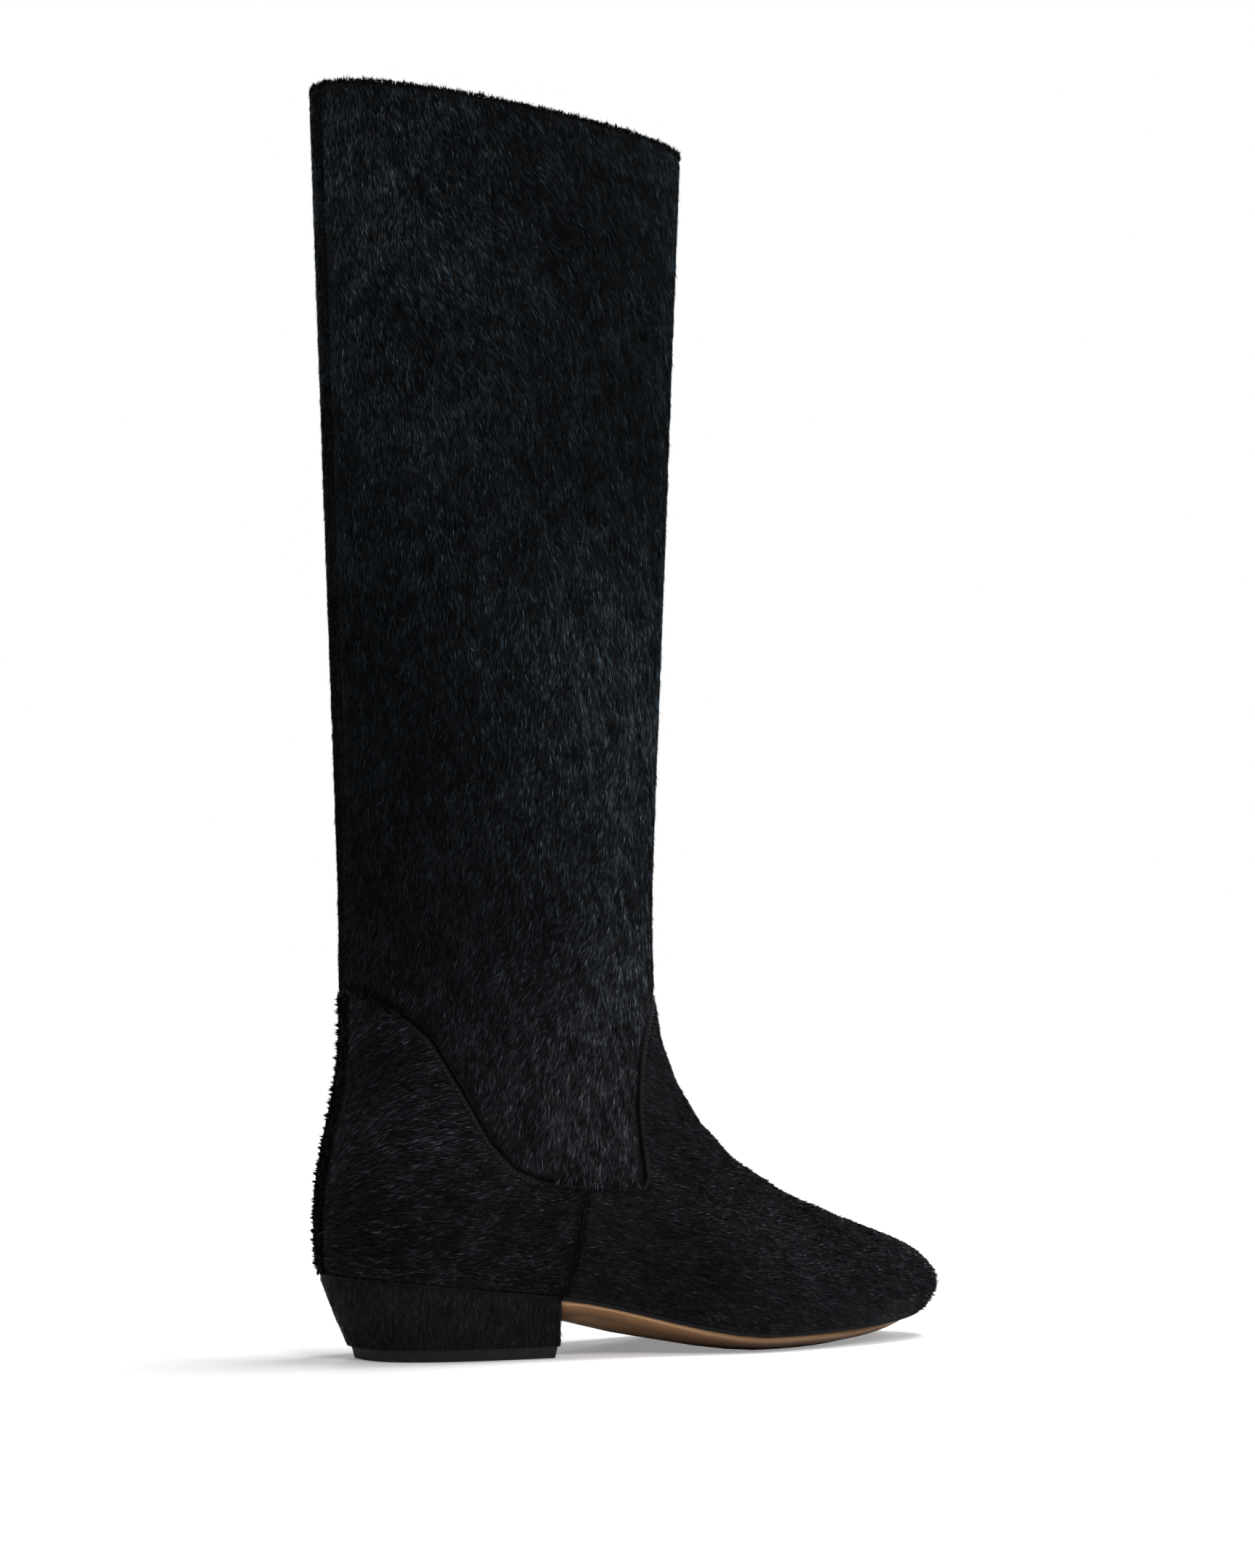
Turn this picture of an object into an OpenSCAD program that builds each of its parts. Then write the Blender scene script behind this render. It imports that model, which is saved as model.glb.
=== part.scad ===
// Knee-high pull-on boot for the right foot, in hair-on calf with a covered block heel.
// X runs from heel to toe, +Y is the inner side of the foot, and the ground is z = 0.
// The origin lies on the ground, at the middle of the top lift.

/* [Foot] */
// Length of the upper from the back of the heel to the tip of the toe
foot_len = 263; // [240:1:285]
// Width of the upper round the heel
heel_w = 64; // [58:1:70]
// Width of the upper at the waist, under the arch
waist_w = 58; // [50:1:66]
// Width of the upper across the ball
ball_w = 89; // [80:1:98]
// Width of the upper across the toes
toe_w = 66; // [56:1:74]
// How far the waist is shifted to the outer side, clear of the arch
arch_shift = 2; // [0:0.5:5]
// How far the toe is turned to the inner side
toe_shift = 7; // [0:1:12]
// Plan radius of the toe tip
toe_round = 13; // [8:1:18]
// Lift of the toe tip off the ground
toe_spring = 5.5; // [4:0.5:12]

/* [Heel] */
// Height of the heel at its back, with the top lift
heel_h = 31.5; // [26:0.5:40]
// Fall of the heel seat from its back to the breast
seat_fall = 9; // [6:1:12]
// Length of the top lift along the ground
lift_len = 65; // [56:1:74]
// Width of the top lift
lift_w = 53; // [46:1:58]
// Thickness of the top lift
lift_t = 4.2; // [3:0.2:6]
// How far the heel runs in under the back of the upper
undercut = 17; // [8:1:22]
// Thickness of the calf that covers the heel
cover_t = 1.2; // [0.8:0.1:2]
// Diameter of the pins of the top lift
pin_d = 2.6; // [2:0.1:4]
// Diameter of the heel screw
screw_d = 4; // [3:0.2:5]
// Diameter of the heel nails
nail_d = 1.8; // [1.4:0.1:2.4]

/* [Shaft] */
// Height of the topline at the back
boot_h = 460; // [380:1:500]
// Fall of the topline from back to front
top_fall = 19; // [0:1:30]
// How far the topline dips at the sides
top_dip = 2.5; // [0:0.5:6]
// Length of the shaft at the topline, along the foot
top_len = 143; // [125:1:160]
// Width of the shaft at the topline
top_w = 96; // [84:1:112]
// Height of the narrowest place of the shaft
ankle_h = 162; // [150:1:180]
// Length of the shaft at the ankle, along the foot
ankle_len = 120; // [110:1:130]
// Width of the shaft at the ankle
ankle_w = 84; // [76:1:92]

/* [Leather and boards] */
// Slant of the side seam, from the breast of the heel forwards to its top
side_rake = 6; // [0:0.5:10]
// Thickness of the hair-on calf of the upper
hide_t = 1.6; // [1.2:0.1:2]
// Thickness of the lining leather
lining_t = 0.9; // [0.7:0.1:1.2]
// Width of the upper turned in under the insole
margin_w = 14; // [11:1:16]
// Thickness of the insole board
insole_t = 2; // [1.5:0.1:2.6]
// Thickness of the sock lining
sock_t = 1; // [0.7:0.1:1.4]
// Thickness of the foam pad under the heel
pad_t = 3; // [2:0.5:5]
// Thickness of the outsole at the ball
sole_t = 5.2; // [3:0.2:5.6]
// Depth of the outsole in the rounded waist
waist_t = 7.5; // [5:0.5:9]
// Thickness of the dark rand between upper and outsole
rand_t = 1.4; // [0.8:0.1:1.8]
// Width of the tape round the topline
tape_w = 12; // [8:1:16]
// Width of the steel shank
shank_w = 12; // [9:0.5:14]

/* [Hidden] */

// Clearances: between glued layers, and across a butted seam as a share of one cell
fit = 0.1;
butt = 0.03;

// Layers of the upper, as depths below its outer face
gap_t = 0.9;                       // room for tapes, stiffeners and seam margins
mid_out = hide_t + fit;
mid_in = hide_t + gap_t - fit;
lining_out = hide_t + gap_t;
lining_in = lining_out + lining_t;
tape_t = 0.3;
margin_t = 1.2;                    // the turned-in margin of the calf is skived
lining_margin_t = 0.7;

// Heights above the feather line, which is the lower outer edge of the upper
board_z = margin_t + lining_margin_t + 3 * fit;
sock_z = board_z + insole_t + fit;

// Places along the foot
heel_x = -lift_len / 2 - undercut;
toe_x = heel_x + foot_len;
breast_x = lift_len / 2 + 2;
ball_share = 0.635;                // where the sole meets the ground, along the foot
ball_x = heel_x + ball_share * foot_len;
ball_z = sole_t + rand_t + 2 * fit;
spring_curve = 2.6;                // how late the toe spring sets in
shaft_x = heel_x + top_len / 2;

// Feather line: a straight heel seat, a smooth fall to the ball, and the toe spring
function feather_z(x) =
  let (slope = seat_fall / (breast_x - heel_x))
  x < breast_x ? heel_h - slope * (x - heel_x) :
  x < ball_x ?
    let (run = ball_x - breast_x, s = (x - breast_x) / run, drop = heel_h - seat_fall - ball_z)
    ball_z + drop * (1 + 2 * s) * pow(1 - s, 2) - slope * run * s * pow(1 - s, 2) :
  ball_z + toe_spring * pow((x - ball_x) / (toe_x - ball_x), spring_curve);

// Smooth curve through (xs, ys) that never overshoots its key values
function find_span(xs, x, k = 0) = (k >= len(xs) - 2 || x < xs[k + 1]) ? k : find_span(xs, x, k + 1);
function rise_of(xs, ys, k) = (ys[k + 1] - ys[k]) / (xs[k + 1] - xs[k]);
function key_slope(xs, ys, k) =
  (k == 0 || k == len(xs) - 1) ? 0 :
  let (a = rise_of(xs, ys, k - 1), b = rise_of(xs, ys, k))
  a * b <= 0 ? 0 : 2 * a * b / (a + b);
function curve(xs, ys, x) =
  let (k = find_span(xs, x), h = xs[k + 1] - xs[k], s = min(1, max(0, (x - xs[k]) / h)),
       m0 = key_slope(xs, ys, k) * h, m1 = key_slope(xs, ys, k + 1) * h)
  ys[k] * (1 + 2 * s) * pow(1 - s, 2) + m0 * s * pow(1 - s, 2)
  + ys[k + 1] * s * s * (3 - 2 * s) + m1 * s * s * (s - 1);
function mix(a, b, s) = a + (b - a) * s;
function smooth(s) = let (c = min(1, max(0, s))) c * c * (3 - 2 * c);

// Key loops of the upper, from the feather line (level 0) to the ankle (level 10).
// Each loop runs from a point on the heel to a point on the ridge of the vamp.
LEVEL = [0, 1, 2, 3, 4, 5, 6, 7, 8, 9, 10];
// Height of the loop's back, as a share of the way from the seat to the ankle
RISE = [0, .09, .17, .25, .33, .415, .50, .58, .67, .78, 1];
// How far the loop's back lies in front of heel_x, as a share of the ankle's
INSET = [.19, .13, .12, .20, .36, .57, .78, .92, .98, 1, 1];
// Reach of the loop's front, as a share of the way from the ankle to the toe tip
REACH = [.95, .995, .94, .80, .59, .365, .205, .10, .035, .01, 0];
// Height of the loop's front, as a share of the way from the toe to the ankle
CLIMB = [0, .062, .122, .18, .245, .34, .455, .575, .70, .82, 1];
// Half widths of the loop as shares of the named ones: heel, waist, ball and toes
HEEL_F = [.95, 1.00, 1.02, 1.03, 1.05, 1.06, 1.05, 1.00, .94, .92, .92];
WAIST_F = [.93, 1.03, 1.08, 1.15, 1.22, 1.26, 1.30, 1.34, 1.38, 1.40, 1.40];
BALL_F = [.97, 1.00, .95, .87, .79, .75, .77, .82, .87, .89, .89];
TOE_F = [.95, 1.00, .90, .78, .72, .72, .77, .83, .87, .88, .88];
// Roundness of the loop's two ends in plan, as radii
BACK_R = [28, 30, 31, 31, 31, 31, 30, 29, 29, 29, 29];
FRONT_F = [1.15, 1.25, 1.45, 1.55, 1.5, 1.5, 1.6, 1.8, 2, 2.2, 2.4];
// Share of the feather line's bow that the loop keeps
BOW = [1, .98, .93, .85, .74, .60, .45, .30, .15, .05, 0];
// How far the loop has turned from a foot outline into the ankle's ellipse
ROUNDED = [0, 0, 0, 0, .02, .10, .25, .50, .78, .95, 1];

TOP = 14;                          // level of the topline
STATION_T = [0, .14, .38, .66, .86, 1];
STATION_A = [for (t = STATION_T) acos(1 - 2 * t)];

function shape(keys, level) = curve(LEVEL, keys, min(level, 10));
function shaft_s(level) = max(0, (level - 10) / (TOP - 10));

// Ends of the loop at a level: [back x, back z, front x, front z]
function loop_ends(level) =
  let (s = shaft_s(level),
       ankle_back = shaft_x - ankle_len / 2, ankle_front = shaft_x + ankle_len / 2,
       front_x = mix(ankle_front, toe_x, shape(REACH, level)),
       toe_z = mix(feather_z(front_x), ball_z + toe_spring, min(1, level)))
  s > 0 ?
    [mix(ankle_back, shaft_x - top_len / 2, s), mix(ankle_h, boot_h, s),
     mix(ankle_front, shaft_x + top_len / 2, s), mix(ankle_h, boot_h - top_fall, s)] :
    [mix(heel_x, ankle_back, shape(INSET, level)),
     mix(heel_h, ankle_h, shape(RISE, level)),
     front_x,
     mix(toe_z, ankle_h, shape(CLIMB, level))];

// Half width of the loop at an angle, which runs from 0 at the heel to 180 at the toe
function loop_g(level, angle, half_len) =
  let (s = shaft_s(level), f = min(level, 10), round_b = mix(ankle_w, top_w, s) / 2,
       foot = [sqrt(shape(BACK_R, f) * half_len),
               heel_w / 2 * shape(HEEL_F, f) / sin(STATION_A[1]),
               waist_w / 2 * shape(WAIST_F, f) / sin(STATION_A[2]),
               ball_w / 2 * shape(BALL_F, f) / sin(STATION_A[3]),
               toe_w / 2 * shape(TOE_F, f) / sin(STATION_A[4]),
               sqrt(toe_round * shape(FRONT_F, f) * half_len)])
  mix(curve(STATION_A, foot, angle), round_b, shape(ROUNDED, f));

// Sideways place of the loop's middle: out at the waist and in at the toe
function loop_mid(level, t) =
  let (keep = 1 - shape(ROUNDED, min(level, 10)), w = max(0, (t - .45) / .55))
  keep * (toe_shift * w * w * (3 - 2 * w) - arch_shift * pow(sin(min(180, t * 260)), 2));

// Point of the upper's outer face. side is -1 on the outer side and 1 on the inner side.
// inset draws the loop in on all sides, for the boards and the sole.
function skin(level, angle, side, inset = 0) =
  let (e = loop_ends(level), t = (1 - cos(angle)) / 2,
       x0 = e[0] + inset, x1 = e[2] - inset, x = mix(x0, x1, t),
       g = loop_g(level, angle, (e[2] - e[0]) / 2) - inset,
       y = loop_mid(level, t) + side * g * sin(angle),
       bow = shape(BOW, min(level, 10)),
       bow_z = feather_z(x) - mix(feather_z(e[0]), feather_z(e[2]), (x - e[0]) / (e[2] - e[0])),
       dip = top_dip * pow(shaft_s(level), 3) * pow(sin(angle), 2),
       z = mix(e[1], e[3], (x - e[0]) / (e[2] - e[0])) + bow * bow_z - dip)
  [x, y, z];

// Columns of the upper, as angles; they stand closer where the seams run steeply
COLUMN = [0, 8, 16, 24, 32, 39, 45, 50, 54, 58, 62, 67, 72, 78, 83, 88,
          93, 98, 107, 114, 122, 131, 141, 151, 161, 171, 180];
FRONT = len(COLUMN) - 1;           // column of the vamp's ridge
SIDE_SEAM = 13;                    // column of the seam between counter and vamp
// The columns lean so that the side seam rises straight from the breast of the heel
SIDE_LEVEL = 3.85;
function side_x(level) = breast_x + side_rake * pow(level / SIDE_LEVEL, .6);
function lean(level) =
  let (f = min(level, SIDE_LEVEL), e = loop_ends(f), fade = 1 - smooth((level - SIDE_LEVEL) / 5))
  fade * (acos(1 - 2 * (side_x(f) - e[0]) / (e[2] - e[0])) - COLUMN[SIDE_SEAM]);
function column_angle(c, level) =
  COLUMN[c] + lean(level) * sin(COLUMN[c]) / sin(COLUMN[SIDE_SEAM]);

// Level of the shaft's lower seam: high round the heel, low at the side, high on the instep
SEAM_A = [0, 16, 32, 45, 52, 58, 64, 72, 93, 98, 107, 116, 129, 143, 161, 180];
SEAM_L = [9, 8.85, 8.5, 7.75, 6.5, 4.85, 3.95, 3.8, 4.15, 4.5, 5.35, 6.3, 7.5, 8.3, 8.85, 9];
function seam_level(c) = curve(SEAM_A, SEAM_L, COLUMN[c]);

// Rows: LOW of them between feather line and seam, and HIGH from the seam to the topline
LOW = 10;
HIGH = 6;
ROWS = LOW + HIGH;
function row_level(r, c) =
  r <= LOW ? seam_level(c) * r / LOW : mix(seam_level(c), TOP, pow((r - LOW) / HIGH, 1.2));

// Whole grid of the outer face, once round from the back over the outer side: [row][column]
ROUND = 2 * FRONT;
function side_of(k) = k <= FRONT ? -1 : 1;
function column_of(k) = k <= FRONT ? k : ROUND - k;
function around(k) = (k + ROUND) % ROUND;
GRID = [for (r = [0:ROWS]) [for (k = [0:ROUND - 1])
  let (c = column_of(k), level = row_level(r, c))
  skin(level, column_angle(c, level), side_of(k))]];
function unit(v) = v / norm(v);
NORMAL = [for (r = [0:ROWS]) [for (k = [0:ROUND - 1])
  unit(cross(GRID[r][around(k + 1)] - GRID[r][around(k - 1)],
             GRID[min(r + 1, ROWS)][k] - GRID[max(r - 1, 0)][k]))]];

// Point at a depth below the outer face. Row 0 is the feather line, where the wall turns in.
function at(r, k, depth, up) =
  let (c = column_of(around(k)))
  r == 0 ?
    let (p = skin(0, column_angle(c, 0), side_of(around(k)), depth)) [p[0], p[1], p[2] + up] :
    GRID[r][around(k)] - NORMAL[r][around(k)] * depth;
// The same at places between the rows and columns
function between(r, k, depth, up) =
  let (r0 = floor(r), k0 = floor(k), fr = r - r0, fk = k - k0,
       a = fk == 0 ? at(r0, k0, depth, up) : mix(at(r0, k0, depth, up), at(r0, k0 + 1, depth, up), fk))
  fr == 0 ? a :
    let (b = fk == 0 ? at(r0 + 1, k0, depth, up) :
             mix(at(r0 + 1, k0, depth, up), at(r0 + 1, k0 + 1, depth, up), fk))
    mix(a, b, fr);
// Point of the margin that is turned in under the insole
function under(k, inset, up) =
  let (c = column_of(around(k)), p = skin(0, column_angle(c, 0), side_of(around(k)), inset))
  [p[0], p[1], p[2] + up];
function under_between(k, inset, up) =
  let (k0 = floor(k), f = k - k0)
  f == 0 ? under(k0, inset, up) : mix(under(k0, inset, up), under(k0 + 1, inset, up), f);

// Point of a board or of the sole, drawn in from the feather line and set above or below it.
// Points of one angle share their x, apart from the round ends of heel and toe.
function sole_point(angle, side, inset, up) =
  let (e = loop_ends(0), t = (1 - cos(angle)) / 2,
       x = mix(e[0], e[2], t) + inset * (1 - smooth(t / .3) - smooth((t - .6) / .4)),
       a = acos(1 - 2 * (x - e[0] - inset) / (e[2] - e[0] - 2 * inset)),
       p = skin(0, a, side, inset))
  [p[0], p[1], feather_z(p[0]) + up];
function angle_at(x) = let (e = loop_ends(0)) acos(1 - 2 * (x - e[0]) / (e[2] - e[0]));
function steps(a, b, n) = [for (i = [0:n]) mix(a, b, i / n)];

// Closed skin between two grids of points with the same rows and columns
module slab(outer, inner, closed = false) {
  n = len(outer);
  m = len(outer[0]);
  last = closed ? m : m - 1;
  function o(r, k) = r * m + k % m;
  function i(r, k) = n * m + r * m + k % m;
  function quad(a, b, c, d) = [[a, b, c], [a, c, d]];
  faces = concat(
    [for (r = [0:n - 2]) for (k = [0:last - 1])
      each quad(o(r, k), o(r + 1, k), o(r + 1, k + 1), o(r, k + 1))],
    [for (r = [0:n - 2]) for (k = [0:last - 1])
      each quad(i(r, k), i(r, k + 1), i(r + 1, k + 1), i(r + 1, k))],
    [for (k = [0:last - 1]) each quad(o(0, k), o(0, k + 1), i(0, k + 1), i(0, k))],
    [for (k = [0:last - 1]) each quad(o(n - 1, k), i(n - 1, k), i(n - 1, k + 1), o(n - 1, k + 1))],
    closed ? [] : [for (r = [0:n - 2]) each quad(o(r, 0), i(r, 0), i(r + 1, 0), o(r + 1, 0))],
    closed ? [] : [for (r = [0:n - 2]) each quad(o(r, last), o(r + 1, last), i(r + 1, last), i(r, last))]
  );
  polyhedron(concat([for (row = outer) each row], [for (row = inner) each row]), faces);
}

// Columns of a panel, drawn back a little from the seams at both ends
function span(k0, k1) = concat([k0 + butt], [for (k = [k0 + 1:k1 - 1]) k], [k1 - butt]);
function wall(rows, cols, depth, up = 0) =
  [for (r = rows) [for (k = cols) between(r, k, depth, up)]];

// Shaft panel: its lower edge is skived and runs on under the counter and the vamp,
// whose edges stand proud of it by their own thickness
lap = 0.06;                        // end of the flat part above the seam, as a share of a row
swell = 0.3;                       // where the panel has its full thickness, likewise
module shaft_panel(cols) {
  tuck = LOW - 0.9;
  rows = concat([LOW + swell], [for (r = [LOW + 1:ROWS]) r]);
  outer = concat(wall([tuck, LOW + lap], cols, mid_out), wall(rows, cols, 0));
  inner = concat(wall([tuck, LOW + lap], cols, mid_in), wall(rows, cols, hide_t));
  slab(outer, inner);
}

// Lower panel with the margin that is turned in under the insole
module low_panel(cols, top_row, depth_out, depth_in, up_out, up_in) {
  rows = concat([for (r = [0:floor(top_row - 0.01)]) r], [top_row]);
  turn = [margin_w, margin_w / 2];
  outer = concat([for (m = turn) [for (k = cols) under_between(k, m, up_out)]],
                 wall(rows, cols, depth_out, up_out));
  inner = concat([for (m = turn) [for (k = cols) under_between(k, m, up_in)]],
                 wall(rows, cols, depth_in, up_in));
  slab(outer, inner);
}

// Board with a constant inset between two heights above the feather line
module board(angles, inset, low, high) {
  sides = [1, -1];
  slab([for (d = sides) [for (a = angles) sole_point(a, d, inset, low)]],
       [for (d = sides) [for (a = angles) sole_point(a, d, inset, high)]]);
}

// Puts a fastener on the heel seat, square to it
SEAT_TILT = atan(seat_fall / (breast_x - heel_x));
module on_seat(x, y) {
  translate([x, y, feather_z(x)]) rotate([0, SEAT_TILT, 0]) children();
}

// Places of the fasteners of the heel, as [x, y] on the seat
screw_x = -10;
nail_side = 10;
NAILS = [[-29, 0], [-20, nail_side], [-20, -nail_side], [10, nail_side], [10, -nail_side]];
pin_gap = lift_len * 0.42;
pin_len = 10;
pin_cover = 1.2;                   // wear rubber below the ends of the pins
board_top = board_z + insole_t;
head_t = 1.4;
nail_head_t = 0.7;
screw_len = 18;
nail_len = 19;

module screw_shape(play) {
  translate([0, 0, board_top - head_t - fit])
    cylinder(h = head_t + play * 4, d = 2 * screw_d + 2 * play, $fn = 32);
  translate([0, 0, board_top - screw_len])
    cylinder(h = screw_len - head_t, d = screw_d + 2 * play, $fn = 24);
}
module nail_shape(play) {
  translate([0, 0, board_top - nail_head_t - fit])
    cylinder(h = nail_head_t + play * 4, d = 2.4 * nail_d + 2 * play, $fn = 20);
  translate([0, 0, board_top - nail_len])
    cylinder(h = nail_len - nail_head_t, d = nail_d + 2 * play, $fn = 16);
}
module heel_bores() {
  on_seat(screw_x, 0) screw_shape(fit);
  for (n = NAILS) on_seat(n[0], n[1]) nail_shape(fit);
}

// The sheets that the foot stands on share one row of stations along the foot
BOARD_A = concat(steps(6, 60, 8), steps(68, 116, 10), steps(121, 176, 10));
function stations_to(x) = concat([for (a = BOARD_A) if (a < angle_at(x) - 1) a], [angle_at(x)]);
function stations_from(x) = concat([angle_at(x)], [for (a = BOARD_A) if (a > angle_at(x) + 1) a]);
board_play = 0.8;                  // room between the insole board and the lining
module insole_board() {
  color("#8a7458") difference() {
    board(BOARD_A, lining_in + board_play, board_z, board_top);
    heel_bores();
  }
}

seat_x = breast_x + 42;            // front end of the stiff heel part of the insole
seat_t = 0.9;
cavity = margin_w + 0.5;           // what lies inside the turned-in margin
module seat_board() {
  color("#5d4a36") difference() {
    board(stations_to(seat_x), cavity, board_z - fit - seat_t, board_z - fit);
    heel_bores();
    for (x = RIVETS) on_sole(x) rivet_shape(fit);
  }
}

// Steel shank: a spring strip with a pressed rib along its middle
shank_x0 = -21;
shank_x1 = breast_x + 47;
shank_t = 0.9;
rib_w = 4;
rib_h = 0.8;
RIVETS = [breast_x - 20, breast_x + 36];
rivet_d = 2.6;
rivet_head_t = 0.7;
function sole_tilt(x) = atan(feather_z(x - 1) - feather_z(x + 1)) / 2;
module on_sole(x) {
  translate([x, 0, feather_z(x)]) rotate([0, sole_tilt(x), 0]) children();
}
module rivet_shape(play) {
  translate([0, 0, -rivet_head_t / 2])
    cylinder(h = board_z - 2 * fit + rivet_head_t / 2, d = rivet_d + 2 * play, $fn = 24);
  translate([0, 0, -rivet_head_t - play])
    cylinder(h = rivet_head_t + play, d = 2 * rivet_d + 2 * play, $fn = 24);
}
function shank_half(x) =
  shank_w / 2 * sqrt(max(.15, 1 - pow(abs(2 * (x - shank_x0) / (shank_x1 - shank_x0) - 1), 8)));
function rib_at(x) =
  rib_h * smooth((x - breast_x - 1) / rib_w) * smooth((RIVETS[1] - 2 * rivet_d - x) / rib_w);
function shank_row(x, side, up) =
  let (z = feather_z(x) + up, h = shank_half(x), r = rib_at(x))
  [[x, side * h, z], [x, side * rib_w / 2, z], [x, side * rib_w / 5, z - r]];
module shank() {
  xs = steps(shank_x0, shank_x1, 17);
  function face(up) =
    let (rows = [for (x = xs) let (m = shank_row(x, 1, up), l = shank_row(x, -1, up))
                 [m[0], m[1], m[2], l[2], l[1], l[0]]])
    [for (r = [0:5]) [for (k = [0:len(xs) - 1]) rows[k][r]]];
  color("#9aa0a6") difference() {
    slab(face(fit), face(fit + shank_t));
    heel_bores();
    for (x = RIVETS) on_sole(x) rivet_shape(fit);
  }
}
module shank_rivets() {
  color("#c2a14e") for (x = RIVETS) on_sole(x) rivet_shape(0);
}

filler_x = shank_x1 + 3;
module bottom_filler() {
  color("#b08d5e") board(stations_from(filler_x), cavity, -rand_t - fit, board_z - fit);
}

// Foam pad under the heel, tapered to the front, and the sock over it
pad_x0 = 2;
pad_x1 = 56;
pad_end = 40;
function pad_rise(x) = pad_t * (1 - smooth((x - pad_x0) / (pad_x1 - pad_x0)));
module soft_sheet(angles, inset, low_rise, low, high_rise, high) {
  function lift_by(a, d, up, rise) =
    let (p = sole_point(a, d, inset, up)) [p[0], p[1], p[2] + rise * pad_rise(p[0])];
  slab([for (d = [1, -1]) [for (a = angles) lift_by(a, d, low, low_rise)]],
       [for (d = [1, -1]) [for (a = angles) lift_by(a, d, high, high_rise)]]);
}
module heel_pad() {
  color("#d8cfae") soft_sheet(stations_to(pad_end), lining_in + 1.5,
                              0, sock_z, 1, sock_z);
}
module sock_lining() {
  color("#b98f63") soft_sheet(BOARD_A, lining_in + 0.5, 1, sock_z + fit, 1, sock_z + fit + sock_t);
}

// Outsole: a tread that bows slightly at the ball, and a rounded waist under the arch
SOLE_A = concat(steps(angle_at(breast_x + 2 * fit), 110, 8), steps(116, 177, 12));
function waist_share(x) =
  curve([breast_x, breast_x + 20, ball_x - 40, ball_x - 2], [.75, 1, .75, 0], x);
function toe_share(angle) = smooth((angle - 115) / 50);
module outsole() {
  top = -rand_t - 2 * fit;
  function x_of(a) = sole_point(a, 1, 0, 0)[0];
  function insets(a) =
    let (w = waist_share(x_of(a)), e = 5.5 * toe_share(a), tip = 1 - smooth((a - 150) / 27))
    [.8 + e, 1.1 + e, 1.4 + e + tip * mix(.8, 4.7, w), 1.6 + e + tip * mix(8, 14.5, w)];
  function drops(a) =
    let (w = waist_share(x_of(a)), t = mix(sole_t, waist_t, w) * (1 - .45 * toe_share(a)))
    [0, t * mix(.45, .16, w), t * mix(.68, .66, w), t];
  function low(i, d) = [for (a = SOLE_A) sole_point(a, d, insets(a)[i], top - drops(a)[i])];
  function high(i, d) = [for (a = SOLE_A) sole_point(a, d, insets(a)[i], top)];
  color("#b78c58")
    slab([low(1, 1), low(2, 1), low(3, 1), low(3, -1), low(2, -1), low(1, -1)],
         [high(0, 1), high(2, 1), high(3, 1), high(3, -1), high(2, -1), high(0, -1)]);
}
module sole_rand() {
  lateral = concat(steps(angle_at(breast_x + 2 * fit), 110, 8), steps(116, 180, 12));
  n = len(lateral) - 1;
  function path(inset, up) =
    concat([for (a = lateral) sole_point(a, -1, inset, up)],
           [for (i = [1:n]) sole_point(lateral[n - i], 1, inset, up)]);
  function face(up) = [path(margin_w, up), path(0.3, up)];
  color("#1b1b1d") slab(face(-rand_t - fit), face(-fit));
}

// Heel: rings that run from the back over the outer side and along the breast
cover_in = 0.6;                    // how far the covered heel stands in from the upper
cover_over = 1.8;                  // how far it stands out past the foot of the lift
lift_grow = 1;                     // taper of the lift at its back and sides
breast_grow = 0.6;                 // share of that taper at the breast
SWEEP = steps(0, 90, 12);
function heel_top(q, side, inset) =
  let (p = sole_point(angle_at(breast_x) * q / 90, side, inset, 0))
  [p[0] - inset * pow(q / 90, 8), p[1]];
function lift_edge(q, side, grow) =
  [lift_len / 2 + breast_grow * grow - (lift_len + (1 + breast_grow) * grow) * pow(cos(q), .72),
   side * (lift_w / 2 + grow) * pow(sin(q), .72)];
function heel_ring(s, inset, grow) =
  let (half = [for (q = SWEEP) mix(heel_top(q, -1, inset), lift_edge(q, -1, grow), s)],
       back = [for (q = SWEEP) mix(heel_top(q, 1, inset), lift_edge(q, 1, grow), s)],
       n = len(SWEEP) - 1)
  concat(half, [mix(half[n], back[n], 1 / 3), mix(half[n], back[n], 2 / 3)],
         [for (i = [0:n - 1]) back[n - i]]);
function heel_loop(s, inset, grow) =
  [for (p = heel_ring(s, inset, grow)) [p[0], p[1], mix(feather_z(p[0]) - fit, lift_t + fit, s)]];
module solid(rings) {
  n = len(rings[0]);
  top = len(rings) - 1;
  function p(r, k) = r * n + k % n;
  polyhedron([for (ring = rings) each ring], concat(
    [for (r = [0:top - 1]) for (k = [0:n - 1]) [p(r, k), p(r + 1, k), p(r + 1, k + 1)]],
    [for (r = [0:top - 1]) for (k = [0:n - 1]) [p(r, k), p(r + 1, k + 1), p(r, k + 1)]],
    [[for (k = [0:n - 1]) k]],
    [[for (k = [0:n - 1]) p(top, n - 1 - k)]]));
}
module pins(play) {
  for (x = [-pin_gap / 2, pin_gap / 2])
    translate([x, 0, pin_cover - play])
      cylinder(h = pin_len + 2 * play, d = pin_d + 2 * play, $fn = 24);
}
HEEL_LEVEL = [1, .66, .33, 0];
module heel_cover() {
  color("#121214")
    slab([for (s = HEEL_LEVEL) heel_loop(s, cover_in, cover_over)],
         [for (s = HEEL_LEVEL) heel_loop(s, cover_in + cover_t, cover_over - cover_t)], closed = true);
}
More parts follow.
